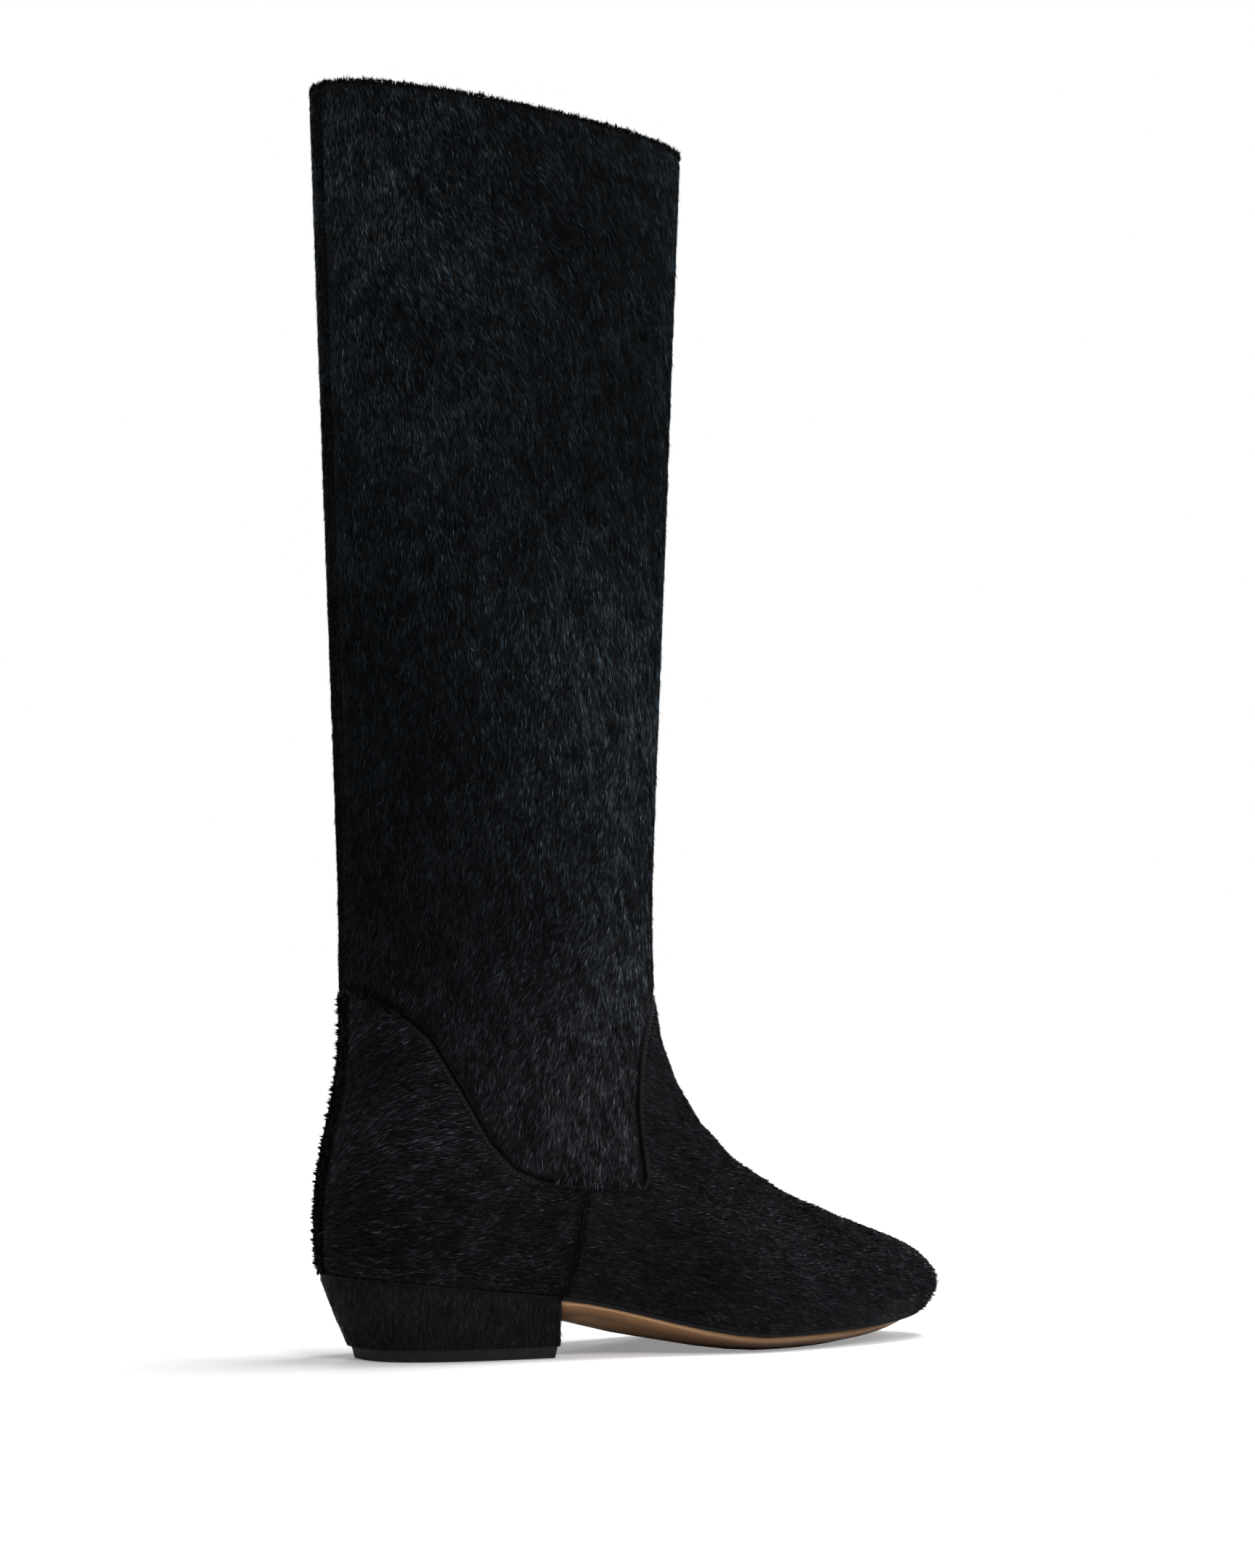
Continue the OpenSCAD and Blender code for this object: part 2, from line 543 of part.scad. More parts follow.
module heel_block() {
  inset = cover_in + cover_t + fit;
  grow = cover_over - cover_t - fit;
  color("#3a3a3c") difference() {
    solid([for (s = HEEL_LEVEL) heel_loop(s, inset, grow)]);
    heel_bores();
    on_sole(RIVETS[0]) rivet_shape(fit);
    pins(fit);
  }
}
module top_lift() {
  function ring(grow, z) = [for (p = heel_ring(1, 0, grow)) [p[0], p[1], z]];
  color("#222224") difference() {
    solid([ring(0, 0), ring(lift_grow, lift_t)]);
    pins(fit);
  }
}
module heel_screw() { color("#b5b9bd") on_seat(screw_x, 0) screw_shape(0); }
module heel_nails() { color("#a9adb1") for (n = NAILS) on_seat(n[0], n[1]) nail_shape(0); }
module lift_pins() { color("#b5b9bd") pins(0); }

// Hides of the upper
OUTER_HALF = span(0, FRONT);
INNER_HALF = span(FRONT, ROUND);
HEEL_COLS = span(-SIDE_SEAM, SIDE_SEAM);
VAMP_COLS = span(SIDE_SEAM, ROUND - SIDE_SEAM);
module calf_panel(cols) { low_panel(cols, LOW - butt, 0, hide_t, 0, margin_t); }
module lining_panel(cols) {
  low_panel(cols, LOW - butt, lining_out, lining_in, margin_t + fit, margin_t + fit + lining_margin_t);
}
module shaft_lining(cols) {
  rows = concat([LOW + butt], [for (r = [LOW + 1:ROWS - 1]) r], [ROWS - 0.02]);
  slab(wall(rows, cols, lining_out), wall(rows, cols, lining_in));
}
module strip(rows, cols, t, closed = false) {
  slab(wall(rows, cols, mid_out, margin_t), wall(rows, cols, mid_out + t, margin_t), closed = closed);
}
STIFF_T = gap_t - 2 * fit;
LAST_ROW = (TOP - row_level(ROWS - 1, 0)) / (TOP - 10) * (boot_h - ankle_h);
TAPE_LOW = ROWS - (tape_w + 2) / LAST_ROW;
TAPE_TOP = TAPE_LOW - 2 / LAST_ROW;
TAPE_ROWS = concat([for (r = [LOW + 1:ROWS - 1]) r], [TAPE_TOP]);

module shaft_outer() { color("#16181b") shaft_panel(OUTER_HALF); }
module shaft_inner() { color("#1a1c20") shaft_panel(INNER_HALF); }
module counter_outer() { color("#26282c") calf_panel(span(0, SIDE_SEAM)); }
module counter_inner() { color("#222428") calf_panel(span(-SIDE_SEAM, 0)); }
module vamp() { color("#1e2024") calf_panel(VAMP_COLS); }
module shaft_lining_outer() { color("#a88a66") shaft_lining(OUTER_HALF); }
module shaft_lining_inner() { color("#a88a66") shaft_lining(INNER_HALF); }
module heel_lining() { color("#9c7f5d") lining_panel(HEEL_COLS); }
module vamp_lining() { color("#b39570") lining_panel(VAMP_COLS); }
module heel_stiffener() {
  color("#c9c2b2") strip([.5, 1, 2, 3, 4, 5], [for (k = [-11:11]) k], STIFF_T);
}
module toe_puff() {
  color("#cfc9ba") strip([.5, 1, 2, 3, 4], [for (k = [FRONT - 6:FRONT + 6]) k], STIFF_T);
}
module topline_tape() {
  color("#2b2b2b")
    strip([TAPE_LOW, ROWS - 2 / LAST_ROW], [for (k = [0:ROUND - 1]) k], tape_t, closed = true);
}
module back_seam_tape() { color("#2b2b2b") strip(TAPE_ROWS, [-1, 0, 1], tape_t); }
module front_seam_tape() { color("#2b2b2b") strip(TAPE_ROWS, [FRONT - 1, FRONT, FRONT + 1], tape_t); }

shaft_outer();
shaft_inner();
counter_outer();
counter_inner();
vamp();
shaft_lining_outer();
shaft_lining_inner();
heel_lining();
vamp_lining();
heel_stiffener();
toe_puff();
topline_tape();
back_seam_tape();
front_seam_tape();
insole_board();
seat_board();
shank();
shank_rivets();
bottom_filler();
heel_pad();
sock_lining();
sole_rand();
outsole();
heel_cover();
heel_block();
heel_screw();
heel_nails();
lift_pins();
top_lift();
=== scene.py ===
# %% [markdown]
# # A knee-high boot in hair-on calf
# The solid model of the boot is finished and stays as it is: twenty-nine pieces, from the
# calf panels to the pins of the top lift. This notebook gives it its looks. Most of the
# work is the coat: short, glossy black hair that lies flat and flows a different way on
# each panel. The rest is the trimmed, stitched edge of the lapped seams, the tan leather
# sole, the rubber top lift and the linings inside.

import math

import bpy
import numpy as np
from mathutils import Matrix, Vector
from mathutils.bvhtree import BVHTree
from mathutils.kdtree import KDTree


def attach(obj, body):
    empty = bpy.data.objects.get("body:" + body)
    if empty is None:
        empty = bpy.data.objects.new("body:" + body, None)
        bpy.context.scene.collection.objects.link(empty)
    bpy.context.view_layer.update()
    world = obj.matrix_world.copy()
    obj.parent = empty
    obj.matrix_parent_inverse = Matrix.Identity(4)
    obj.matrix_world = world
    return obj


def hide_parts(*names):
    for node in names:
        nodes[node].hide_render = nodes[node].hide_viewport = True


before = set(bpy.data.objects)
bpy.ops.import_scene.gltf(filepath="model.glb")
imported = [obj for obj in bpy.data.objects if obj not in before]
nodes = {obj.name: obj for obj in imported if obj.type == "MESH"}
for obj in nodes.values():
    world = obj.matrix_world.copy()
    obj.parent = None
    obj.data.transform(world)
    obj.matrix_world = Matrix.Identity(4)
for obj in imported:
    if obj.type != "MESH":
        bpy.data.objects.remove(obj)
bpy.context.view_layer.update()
bpy.ops.object.select_all(action="DESELECT")
MM = 0.001

# %% [markdown]
# ## The camera
# The boot is looked at from its outer side and a little from behind, with a long lens and
# a level camera. The picture is framed by shifting the lens, as a view camera does, so
# that the upright lines of the shaft stay upright.

# %% Set the camera
LEG_X = 22 * MM  # the middle of the shaft, which the camera faces
FAR_OFF = 1.7
CAMERA_UP = 152.6 * MM
TURN = math.radians(-27)

bpy.ops.object.camera_add(
    location=(LEG_X + FAR_OFF * math.sin(TURN), -FAR_OFF * math.cos(TURN), CAMERA_UP),
    rotation=(math.radians(90), 0, TURN),
)
camera = bpy.context.object
camera.data.lens = 106.2
camera.data.shift_x = 0.0837
camera.data.shift_y = 0.0983
bpy.context.scene.camera = camera
print("camera at:", [round(v, 3) for v in camera.location])

# %% [markdown]
# ## The room
# A white room would light the boot from all sides and flatten the black hair. So the room
# shines weakly, and only the camera sees it at full strength, also through clear things.
# A Light Path node tells those rays from the others.

# %% World
scene = bpy.context.scene
scene.view_settings.view_transform = "Standard"
ROOM_LIGHT = 0.07

world = bpy.data.worlds.new("studio")
scene.world = world
world.use_nodes = True
tree = world.node_tree
backdrop = tree.nodes["Background"]
backdrop.inputs["Color"].default_value = (1, 1, 1, 1)
path = tree.nodes.new("ShaderNodeLightPath")
seen = tree.nodes.new("ShaderNodeMath")
seen.operation = "MAXIMUM"
level = tree.nodes.new("ShaderNodeMapRange")
level.inputs["To Min"].default_value = ROOM_LIGHT
level.inputs["To Max"].default_value = 1.0
tree.links.new(path.outputs["Is Camera Ray"], seen.inputs[0])
tree.links.new(path.outputs["Is Transmission Ray"], seen.inputs[1])
tree.links.new(seen.outputs[0], level.inputs["Value"])
tree.links.new(level.outputs["Result"], backdrop.inputs["Strength"])
print("room light:", ROOM_LIGHT)

# %% [markdown]
# ## A helper for node trees
# Every material is a small node tree on Blender's Principled shader. A short class adds
# and links the nodes, so that each finish below is a few lines long. The patterns read
# Object coordinates in metres, so their scales are those of the real leather, board or
# metal.

# %% The helper
finish = {}


class Tree:
    """A new material with short ways to add and link nodes."""

    def __init__(self, name, roughness=0.5, **sockets):
        self.material = bpy.data.materials.new(name)
        self.material.use_nodes = True
        self.tree = self.material.node_tree
        self.shader = self.tree.nodes["Principled BSDF"]
        self.set("Roughness", roughness)
        for socket, value in sockets.items():
            self.set(socket.replace("_", " "), value)
        self.place = self.add("TexCoord").outputs["Object"]
        finish[name] = self.material

    def set(self, socket, value):
        """Gives one of the shader's own sockets a value."""
        self.shader.inputs[socket].default_value = value

    def add(self, kind, **inputs):
        """A new node, with its sockets linked or set, and its other settings made."""
        node = self.tree.nodes.new("ShaderNode" + kind)
        for key, value in inputs.items():
            socket = node.inputs.get(key.replace("_", " "))
            if socket is None:
                setattr(node, key, value)
            elif hasattr(value, "is_linked"):
                self.tree.links.new(value, socket)
            else:
                socket.default_value = value
        return node

    def link(self, source, socket):
        """Feeds one of the shader's own sockets."""
        self.tree.links.new(source, self.shader.inputs[socket])

    def stretched(self, scale):
        """Object coordinates times a scale along each axis."""
        return self.add("Mapping", Vector=self.place, Scale=scale).outputs[0]

    def noise(self, scale, detail, rough=0.55, vector=None):
        """A random pattern from 0 to 1, in patches of about 1 / scale metres."""
        vector = vector or self.place
        node = self.add("TexNoise", Scale=scale, Detail=detail, Roughness=rough, Vector=vector)
        return node.outputs["Fac"]

    def ramp(self, value, *stops):
        """A colour ramp over (place, colour) stops."""
        node = self.add("ValToRGB", Fac=value)
        ramp = node.color_ramp
        ramp.elements.remove(ramp.elements[1])
        for k, (at, colour) in enumerate(stops):
            stop = ramp.elements[0] if k == 0 else ramp.elements.new(at)
            stop.position, stop.color = at, (*colour, 1)
        return node.outputs["Color"]

    def spread(self, value, low, high):
        """Maps 0 to 1 onto low to high."""
        return self.add("MapRange", Value=value, To_Min=low, To_Max=high).outputs["Result"]

    def bump(self, height, depth, strength=1.0):
        """Roughens the surface by a height pattern of the given depth in metres."""
        node = self.add("Bump", Height=height, Strength=strength, Distance=depth)
        self.link(node.outputs["Normal"], "Normal")


print("short ways:", [name for name in vars(Tree) if not name.startswith("_")])

# %% [markdown]
# ## The floor
# The floor is pale matt paper, on which the boot throws a soft shadow. It also glows for
# the camera alone: weakly behind the heel, where the shadow lies, and fully at a metre
# from there, where it has to meet the white room without an edge.

# %% Floor
FLOOR_Z = -0.0002  # just under the top lift, so that the two faces don't fight
DIMMEST = (-0.12, 0.1, 0)  # the place behind the heel from which the glow grows

bpy.ops.mesh.primitive_plane_add(size=40, location=(0, 0, FLOOR_Z))
floor = bpy.context.object
floor.name = "studio_floor"
paper = Tree("white_paper", roughness=0.55, Specular_IOR_Level=0.25)
paper.set("Base Color", (0.88, 0.87, 0.87, 1))
far = paper.add("VectorMath", operation="DISTANCE", Vector=paper.place)
far.inputs[1].default_value = DIMMEST
fade = paper.add(
    "MapRange", Value=far.outputs["Value"], From_Min=0.1, From_Max=1.1, To_Min=0.15, To_Max=1.0
)
camera_ray = paper.add("LightPath").outputs["Is Camera Ray"]
lift = paper.add("Math", operation="MULTIPLY", Value=camera_ray)
glow = paper.add("Emission", Strength=lift.outputs[0])
both = paper.add("AddShader", Shader=paper.shader.outputs[0])
surface = paper.tree.nodes["Material Output"].inputs["Surface"]
paper.tree.links.new(fade.outputs["Result"], lift.inputs[1])
paper.tree.links.new(glow.outputs[0], both.inputs[1])
paper.tree.links.new(both.outputs[0], surface)
floor.data.materials.append(paper.material)
print("floor in m:", tuple(floor.dimensions))

# %% [markdown]
# ## Lamps
# Black hair shows mostly by its gloss, and a small lamp would give it hard sparkles. So
# the lamps are wide squares: a strong one above, and weaker ones in front, to the right,
# to the left and behind.

# %% Lamps
def soft_lamp(name, place, aim, size, power):
    """A square area lamp at place that shines at aim."""
    bpy.ops.object.light_add(type="AREA", location=place)
    lamp = bpy.context.object
    lamp.name = name
    lamp.rotation_euler = (Vector(aim) - Vector(place)).to_track_quat("-Z", "Y").to_euler()
    lamp.data.size = size
    lamp.data.energy = power
    return lamp


MIDDLE = (0.03, 0, 0.2)
lamps = [
    soft_lamp("top_lamp", (0.6, 0.05, 1.8), MIDDLE, 0.8, 48),
    soft_lamp("front_lamp", (-0.3, -1.6, 1.8), MIDDLE, 0.6, 18),
    soft_lamp("right_lamp", (1.4, -1.0, 1.2), MIDDLE, 0.6, 9),
    soft_lamp("left_lamp", (-1.7, 0.4, 0.9), MIDDLE, 0.6, 6),
    soft_lamp("back_lamp", (0.5, 1.9, 1.1), MIDDLE, 1.0, 7),
]
print("lamps in watts:", {lamp.name: round(lamp.data.energy) for lamp in lamps})

# %% [markdown]
# ## Reading the calf panels
# The hair grows on the panels of the solid model, so their surfaces are read first. Each
# panel is a slab with an outer face, an inner face and narrow rims. A triangle belongs to
# the outer face if it looks away from the middle of the boot and nothing lies just in
# front of it. A list of points along the middle of the leg and the foot says where the
# middle of the boot is.

# %% Triangles of a node
def corners_of(node):
    """Corner points of a node's triangles, as an array of (triangle, corner, xyz)."""
    mesh = nodes[node].data
    mesh.calc_loop_triangles()
    points = np.empty(len(mesh.vertices) * 3, np.float32)
    mesh.vertices.foreach_get("co", points)
    corner = np.empty(len(mesh.loop_triangles) * 3, np.int32)
    mesh.loop_triangles.foreach_get("vertices", corner)
    return points.reshape(-1, 3).astype(float)[corner].reshape(-1, 3, 3)


def unit(vectors):
    """Vectors of the same direction and of length 1."""
    return vectors / np.maximum(np.linalg.norm(vectors, axis=-1, keepdims=True), 1e-12)


def dot(a, b):
    """Dot products, row by row."""
    return (a * b).sum(-1)


def away_from(line, points):
    """Unit vectors from the nearest point of a line of points to each of the points."""
    best, nearest = np.full(len(points), np.inf), np.zeros_like(points)
    for a, b in zip(line[:-1], line[1:]):
        share = np.clip(dot(points - a, b - a) / dot(b - a, b - a), 0, 1)
        foot = a + share[:, None] * (b - a)
        gap = np.linalg.norm(points - foot, axis=1)
        closer = gap < best
        best[closer], nearest[closer] = gap[closer], foot[closer]
    return unit(points - nearest)


def tree_of(names):
    """A search tree over the triangles of some nodes, and the node of each triangle."""
    found = [corners_of(n) for n in names]
    owner = [n for n, part in zip(names, found) for _ in part]
    points = np.concatenate(found).reshape(-1, 3)
    faces = np.arange(len(points)).reshape(-1, 3)
    return BVHTree.FromPolygons(points.tolist(), faces.tolist()), owner


solids, solid_owner = tree_of(sorted(nodes))
print("triangles in the search tree:", len(solid_owner))

# %% Outer faces
CALF = ["shaft_outer", "shaft_inner", "counter_outer", "counter_inner", "vamp"]
COVERED = CALF + ["heel_cover"]
SPINE = np.array([  # from the topline down the leg and along the foot to the toe
    (22, 0, 470), (20, 0, 90), (30, 0, 58), (90, 3, 38), (150, 6, 27), (192, 7, 21),
]) * MM
HEEL_MIDDLE = np.array([(-4, 0, 60), (-4, 0, 0)]) * MM
FREE = 5 * MM  # hair needs this much room in front of it
CLEAR = 0.03  # mm above the surface at which a look outwards starts
OUTWARD = 0.3  # least share by which an outer triangle looks away from the middle
LEVEL = 0.93  # upright share of the normal from which a triangle counts as level
INSTEP_X = 90 * MM  # in front of this, level triangles of the vamp are outer ones too


def covered(points, normals):
    """Whether a solid stands close in front of each point."""
    starts = points + normals * CLEAR * MM
    hits = [
        solids.ray_cast(Vector(p), Vector(n), FREE)[0] is not None
        for p, n in zip(starts, normals)
    ]
    return np.array(hits, bool)


def outer_face(node):
    """The triangles of a panel's outer face, their unit normals and their areas."""
    tri = corners_of(node)
    cross = np.cross(tri[:, 1] - tri[:, 0], tri[:, 2] - tri[:, 0])
    area, normal = np.linalg.norm(cross, axis=1) / 2, unit(cross)
    middle = tri.mean(1)
    line = HEEL_MIDDLE if node == "heel_cover" else SPINE
    keep = (dot(normal, away_from(line, middle)) > OUTWARD) & (np.abs(normal[:, 2]) < LEVEL)
    keep |= (node == "vamp") & (normal[:, 2] >= LEVEL) & (middle[:, 0] > INSTEP_X)
    # a triangle is hidden if its middle and three places nearer to its corners all are
    spots = [middle] + [middle * 0.4 + tri[:, c] * 0.6 for c in range(3)]
    keep &= ~np.all([covered(spot, normal) for spot in spots], axis=0)
    return tri[keep], normal[keep], area[keep]


faces = {n: outer_face(n) for n in COVERED}
for name, (tri, normal, area) in faces.items():
    print(name, "outer triangles:", len(tri), " cm2:", round(area.sum() * 1e4))

# %% [markdown]
# ## A smooth surface between flat triangles
# The panels are faceted, and hair that followed each facet would show it. Each corner
# gets the mean normal of the triangles that meet there, and a point inside a triangle is
# then pulled out onto the curved surface that those normals describe. This is called Phong
# tessellation.

# %% Corner normals
MERGE = 0.02 * MM  # corners that lie closer than this are one corner
ALIKE = 0.55  # cosine from which two triangles belong to one curved surface


def corner_normals(tri, normal, area):
    """A mean normal for each corner, over the triangles that meet there at a small angle."""
    keys = np.round(tri.reshape(-1, 3) / MERGE).astype(np.int64)
    _, where = np.unique(keys, axis=0, return_inverse=True)
    where = where.reshape(-1)
    order = np.argsort(where, kind="stable")
    splits = np.flatnonzero(np.diff(where[order])) + 1
    found = np.zeros((len(tri) * 3, 3))
    for group in np.split(order, splits):
        mates = group // 3
        alike = dot(normal[mates][:, None], normal[mates][None]) > ALIKE
        weight = alike * area[mates][None]
        found[group] = weight @ normal[mates]
    return unit(found).reshape(-1, 3, 3)


rounded = {n: corner_normals(*faces[n]) for n in COVERED}
print("corner normals:", sum(3 * len(normals) for normals in rounded.values()))

# %% Curved points
BULGE = 0.75  # how far a point moves from its flat triangle to the curved surface


def curved(tri, soft, share):
    """Points and normals on the curved surface, for shares of each triangle's corners."""
    flat = dot(share[:, :, None].transpose(0, 2, 1), tri.transpose(0, 2, 1))
    bent = np.zeros_like(flat)
    for c in range(3):
        off = dot(flat - tri[:, c], soft[:, c])[:, None] * soft[:, c]
        bent += share[:, c, None] * (flat - off)
    mean = unit((share[:, :, None] * soft).sum(1))
    shift = BULGE * (bent - flat)
    # in a hollow, a point stays on its flat triangle and doesn't sink below it
    sunk = np.minimum(dot(shift, mean), 0)[:, None]
    return flat, flat + shift - sunk * mean, mean


# %% [markdown]
# ## The edges of the lapped panels
# The counter and the vamp lie on top of the shaft, and their edges are trimmed bare and
# stitched. To find such an edge, the rim of the outer face is walked, and the piece that
# lies just beyond it is looked up: beyond the lapped edge lies the shaft.

# %% Walk the rim
EDGE_STEP = 0.5 * MM


def rim_of(node):
    """Edges of a panel's outer face: ends, outward directions and face normals."""
    tri, normal, _ = faces[node]
    keys = np.round(tri / MERGE).astype(np.int64)
    seen_edges = {}
    for t in range(len(tri)):
        for c in range(3):
            a, b = tuple(keys[t, c]), tuple(keys[t, (c + 1) % 3])
            seen_edges.setdefault(frozenset((a, b)), []).append((t, c))
    rim = []
    for uses in seen_edges.values():
        if len(uses) == 1:
            t, c = uses[0]
            a, b = tri[t, c], tri[t, (c + 1) % 3]
            rim.append((a, b, unit(np.cross(b - a, normal[t])), rounded[node][t, c]))
    return rim


PAST_EDGE, ABOVE = 1.3, 1.5  # mm from an edge to where the look down starts
LOOK_DOWN = 5 * MM


def beyond(a, b, out, normal):
    """The node that lies just past an edge of a panel."""
    start = (a + b) / 2 + out * PAST_EDGE * MM + normal * ABOVE * MM
    hit = solids.ray_cast(Vector(start), Vector(-normal), LOOK_DOWN)
    return solid_owner[hit[2]] if hit[0] is not None else None


def seam(node, beyond_names, keep=lambda p: True):
    """Points, normals and outward directions, step by step along some of the rim."""
    found = []
    for a, b, out, normal in rims[node]:
        if keep((a + b) / 2) and beyond(a, b, out, normal) in beyond_names:
            count = max(1, round(np.linalg.norm(b - a) / EDGE_STEP))
            found += [(a + (b - a) * k / count, normal, out) for k in range(count)]
    return np.array(found).reshape(-1, 3, 3).transpose(1, 0, 2)


rims = {n: rim_of(n) for n in COVERED}
print("rim edges:", {n: len(rim) for n, rim in rims.items()})

# %% Join edges into a smooth line
ENDS_MEET = 0.05 * MM  # ends that lie closer than this are joined


def chain(loose):
    """Joins loose edges end to end and gives the longest line of them."""
    key = lambda p: tuple(np.round(p / ENDS_MEET).astype(int))
    after = {key(e[0]): e for e in loose}
    ends = {key(e[1]) for e in loose}
    lines = []
    for first in [e for e in loose if key(e[0]) not in ends]:
        line, edge = [first], first
        while key(edge[1]) in after:
            edge = after[key(edge[1])]
            line.append(edge)
        lines.append(line)
    return max(lines, key=len)


def lapped_edge(node, under):
    """Points and normals along the edge that lies on the shaft."""
    line = chain([e for e in rims[node] if beyond(*e) in under])
    points = np.array([e[0] for e in line] + [line[-1][1]])
    normals = np.array([e[3] for e in line] + [line[-1][3]])
    return points, normals


def smooth_line(points, normals, step):
    """The same line through smooth curves, with a point every step."""
    p = np.vstack([2 * points[0] - points[1], points, 2 * points[-1] - points[-2]])
    place, up = [], []
    for k in range(1, len(p) - 2):
        count = max(2, int(np.linalg.norm(p[k + 1] - p[k]) / (step / 4)))
        for s in np.arange(count) / count:
            m0, m1 = (p[k + 1] - p[k - 1]) / 2, (p[k + 2] - p[k]) / 2
            h = (1 + 2 * s) * (1 - s) ** 2 * p[k] + s * (1 - s) ** 2 * m0
            place.append(h + s * s * (3 - 2 * s) * p[k + 1] + s * s * (s - 1) * m1)
            up.append(normals[k - 1] * (1 - s) + normals[k] * s)
    place, up = np.array(place + [points[-1]]), np.array(up + [normals[-1]])
    run = np.concatenate([[0], np.cumsum(np.linalg.norm(np.diff(place, axis=0), axis=1))])
    at = np.arange(0, run[-1], step)
    mixed = lambda v: np.stack([np.interp(at, run, v[:, i]) for i in range(3)], 1)
    place, up = mixed(place), unit(mixed(up))
    along = unit(np.gradient(place, axis=0))
    out = unit(np.cross(along, up))
    return place, unit(np.cross(out, along)), along, out


# %% Lapped edges
SHAFTS = ("shaft_outer", "shaft_inner")
COUNTERS = ("counter_outer", "counter_inner")
edges = {}
for name in (*COUNTERS, "vamp"):
    edges[name] = smooth_line(*lapped_edge(name, SHAFTS), EDGE_STEP)
    print(name, "lapped edge in mm:", round(len(edges[name][0]) * EDGE_STEP / MM))
lap_line = np.concatenate([edges[n][0] for n in edges])

# %% [markdown]
# ## Seams, feather line and topline
# The coat changes at every line where a panel ends: at the closed seams of the back and
# the side, at the feather line, where the upper meets the sole, and at the topline. They
# are found in the same way, by what lies beyond the rim.

# %% Find the other lines
UNDER_FOOT = ("sole_rand", "outsole", "heel_cover", "heel_block", "top_lift", None)
LININGS = ("topline_tape", "shaft_lining_outer", "shaft_lining_inner", None)
side_seams = {n: seam(n, ("vamp",)) for n in COUNTERS}
side_seams["vamp"] = seam("vamp", COUNTERS)
back_seams = {
    "counter_outer": seam("counter_outer", ("counter_inner",)),
    "counter_inner": seam("counter_inner", ("counter_outer",)),
    "shaft_outer": seam("shaft_outer", ("shaft_inner",)),
    "shaft_inner": seam("shaft_inner", ("shaft_outer",)),
}
LOW_RIM, LIFT_RIM, HIGH_RIM = 60 * MM, 12 * MM, 430 * MM  # heights that part the rims
feathers = {n: seam(n, UNDER_FOOT, lambda p: p[2] < LOW_RIM) for n in CALF[2:]}
feathers["heel_cover"] = seam("heel_cover", UNDER_FOOT, lambda p: p[2] < LIFT_RIM)
toplines = {n: seam(n, LININGS, lambda p: p[2] > HIGH_RIM) for n in SHAFTS}
found_lines = {"side": side_seams, "back": back_seams, "feather": feathers, "top": toplines}
for title, found in found_lines.items():
    print(title, "lines in mm:", {n: len(line[0]) // 2 for n, line in found.items()})

# %% [markdown]
# ## How the hair flows
# On a hide the hair grows one way, and the cutter lays the patterns so that it runs down
# the shaft, backwards round the counter and forwards over the vamp. The flow is written
# as a direction for each place, pressed flat onto the surface. Two slow random fields bend
# it a little, because no coat is combed perfectly, and that makes the mottled sheen.

# %% Random fields
WAVES = 18


def field(points, size, seed):
    """A smooth random value near -1 to 1 at each point, which changes over about size."""
    random = np.random.default_rng(seed)
    turn = unit(random.normal(size=(WAVES, 3)))
    rate = 2 * math.pi / size * random.uniform(0.5, 1.4, WAVES)
    phase = random.uniform(0, 2 * math.pi, WAVES)
    total = np.zeros(len(points))
    for w in range(WAVES):
        total += np.cos(points @ (turn[w] * rate[w]) + phase[w])
    return total * math.sqrt(2 / WAVES) / 1.4


# %% Flow of the hair
def tilted(angle):
    """Directions in the side view, from straight down (0) towards the toe (+) or heel (-)."""
    angle = np.radians(angle)
    return np.stack([np.sin(angle), np.zeros_like(angle), -np.cos(angle)], 1)


def flow(node, points, normals):
    """The direction in which the hair grows at each point, from angles by place in mm."""
    x, z = points[:, 0] / MM, points[:, 2] / MM
    if node in SHAFTS:
        lean = np.interp(z, [60, 100, 150, 230, 320, 400, 460], [-8, -20, -24, -6, 10, 21, 24])
        wanted = tilted(lean)
    elif node == "vamp":
        lean = np.interp(x, [35, 90, 150, 190, 215], [80, 74, 70, 64, 35])
        high = np.interp(z, [70, 130], [0, 1])
        wanted = tilted(lean * (1 - 0.12 * high))
    elif node == "heel_cover":
        wanted = tilted(np.zeros(len(points)))
    else:
        wanted = tilted(np.interp(z, [22, 60, 100, 133], [-92, -83, -76, -68]))
    sway = 8 * field(points, 26 * MM, 11) + 5 * field(points, 9 * MM, 12)
    sway *= {"shaft_outer": 1.0, "shaft_inner": 1.0, "heel_cover": 0.4}.get(node, 0.7)
    flat = unit(wanted - dot(wanted, normals)[:, None] * normals)
    side = np.cross(normals, flat)
    turn = np.radians(sway)[:, None]
    return unit(flat * np.cos(turn) + side * np.sin(turn))


for name in COVERED:
    _, normal, area = faces[name]
    down = np.average(-flow(name, faces[name][0].mean(1), normal)[:, 2], weights=area)
    print(name, "hair grows downwards by a share of", round(float(down), 2))

# %% [markdown]
# ## Growing the hair
# A hair is a thin bent blade: it starts just under the surface, lies close over the next
# hairs and lifts a little at its tip. Blades are drawn as two triangles each, because
# there are hundreds of thousands of them. Blender's own hair system would leave no mesh
# for the exported model, so the blades are made as a mesh straight away, from roots that
# are scattered evenly over the curved surface.

# %% Scatter the roots
def scatter(node, per_mm2, random):
    """Roots and normals, spread evenly over a panel's outer face."""
    tri, normal, area = faces[node]
    wanted = int(area.sum() / MM**2 * per_mm2)
    pick = random.choice(len(tri), wanted, p=area / area.sum())
    share = random.dirichlet((1, 1, 1), wanted)
    flat, root, soft = curved(tri[pick], rounded[node][pick], share)
    open_air = ~covered(flat, normal[pick])
    return root[open_air], soft[open_air]


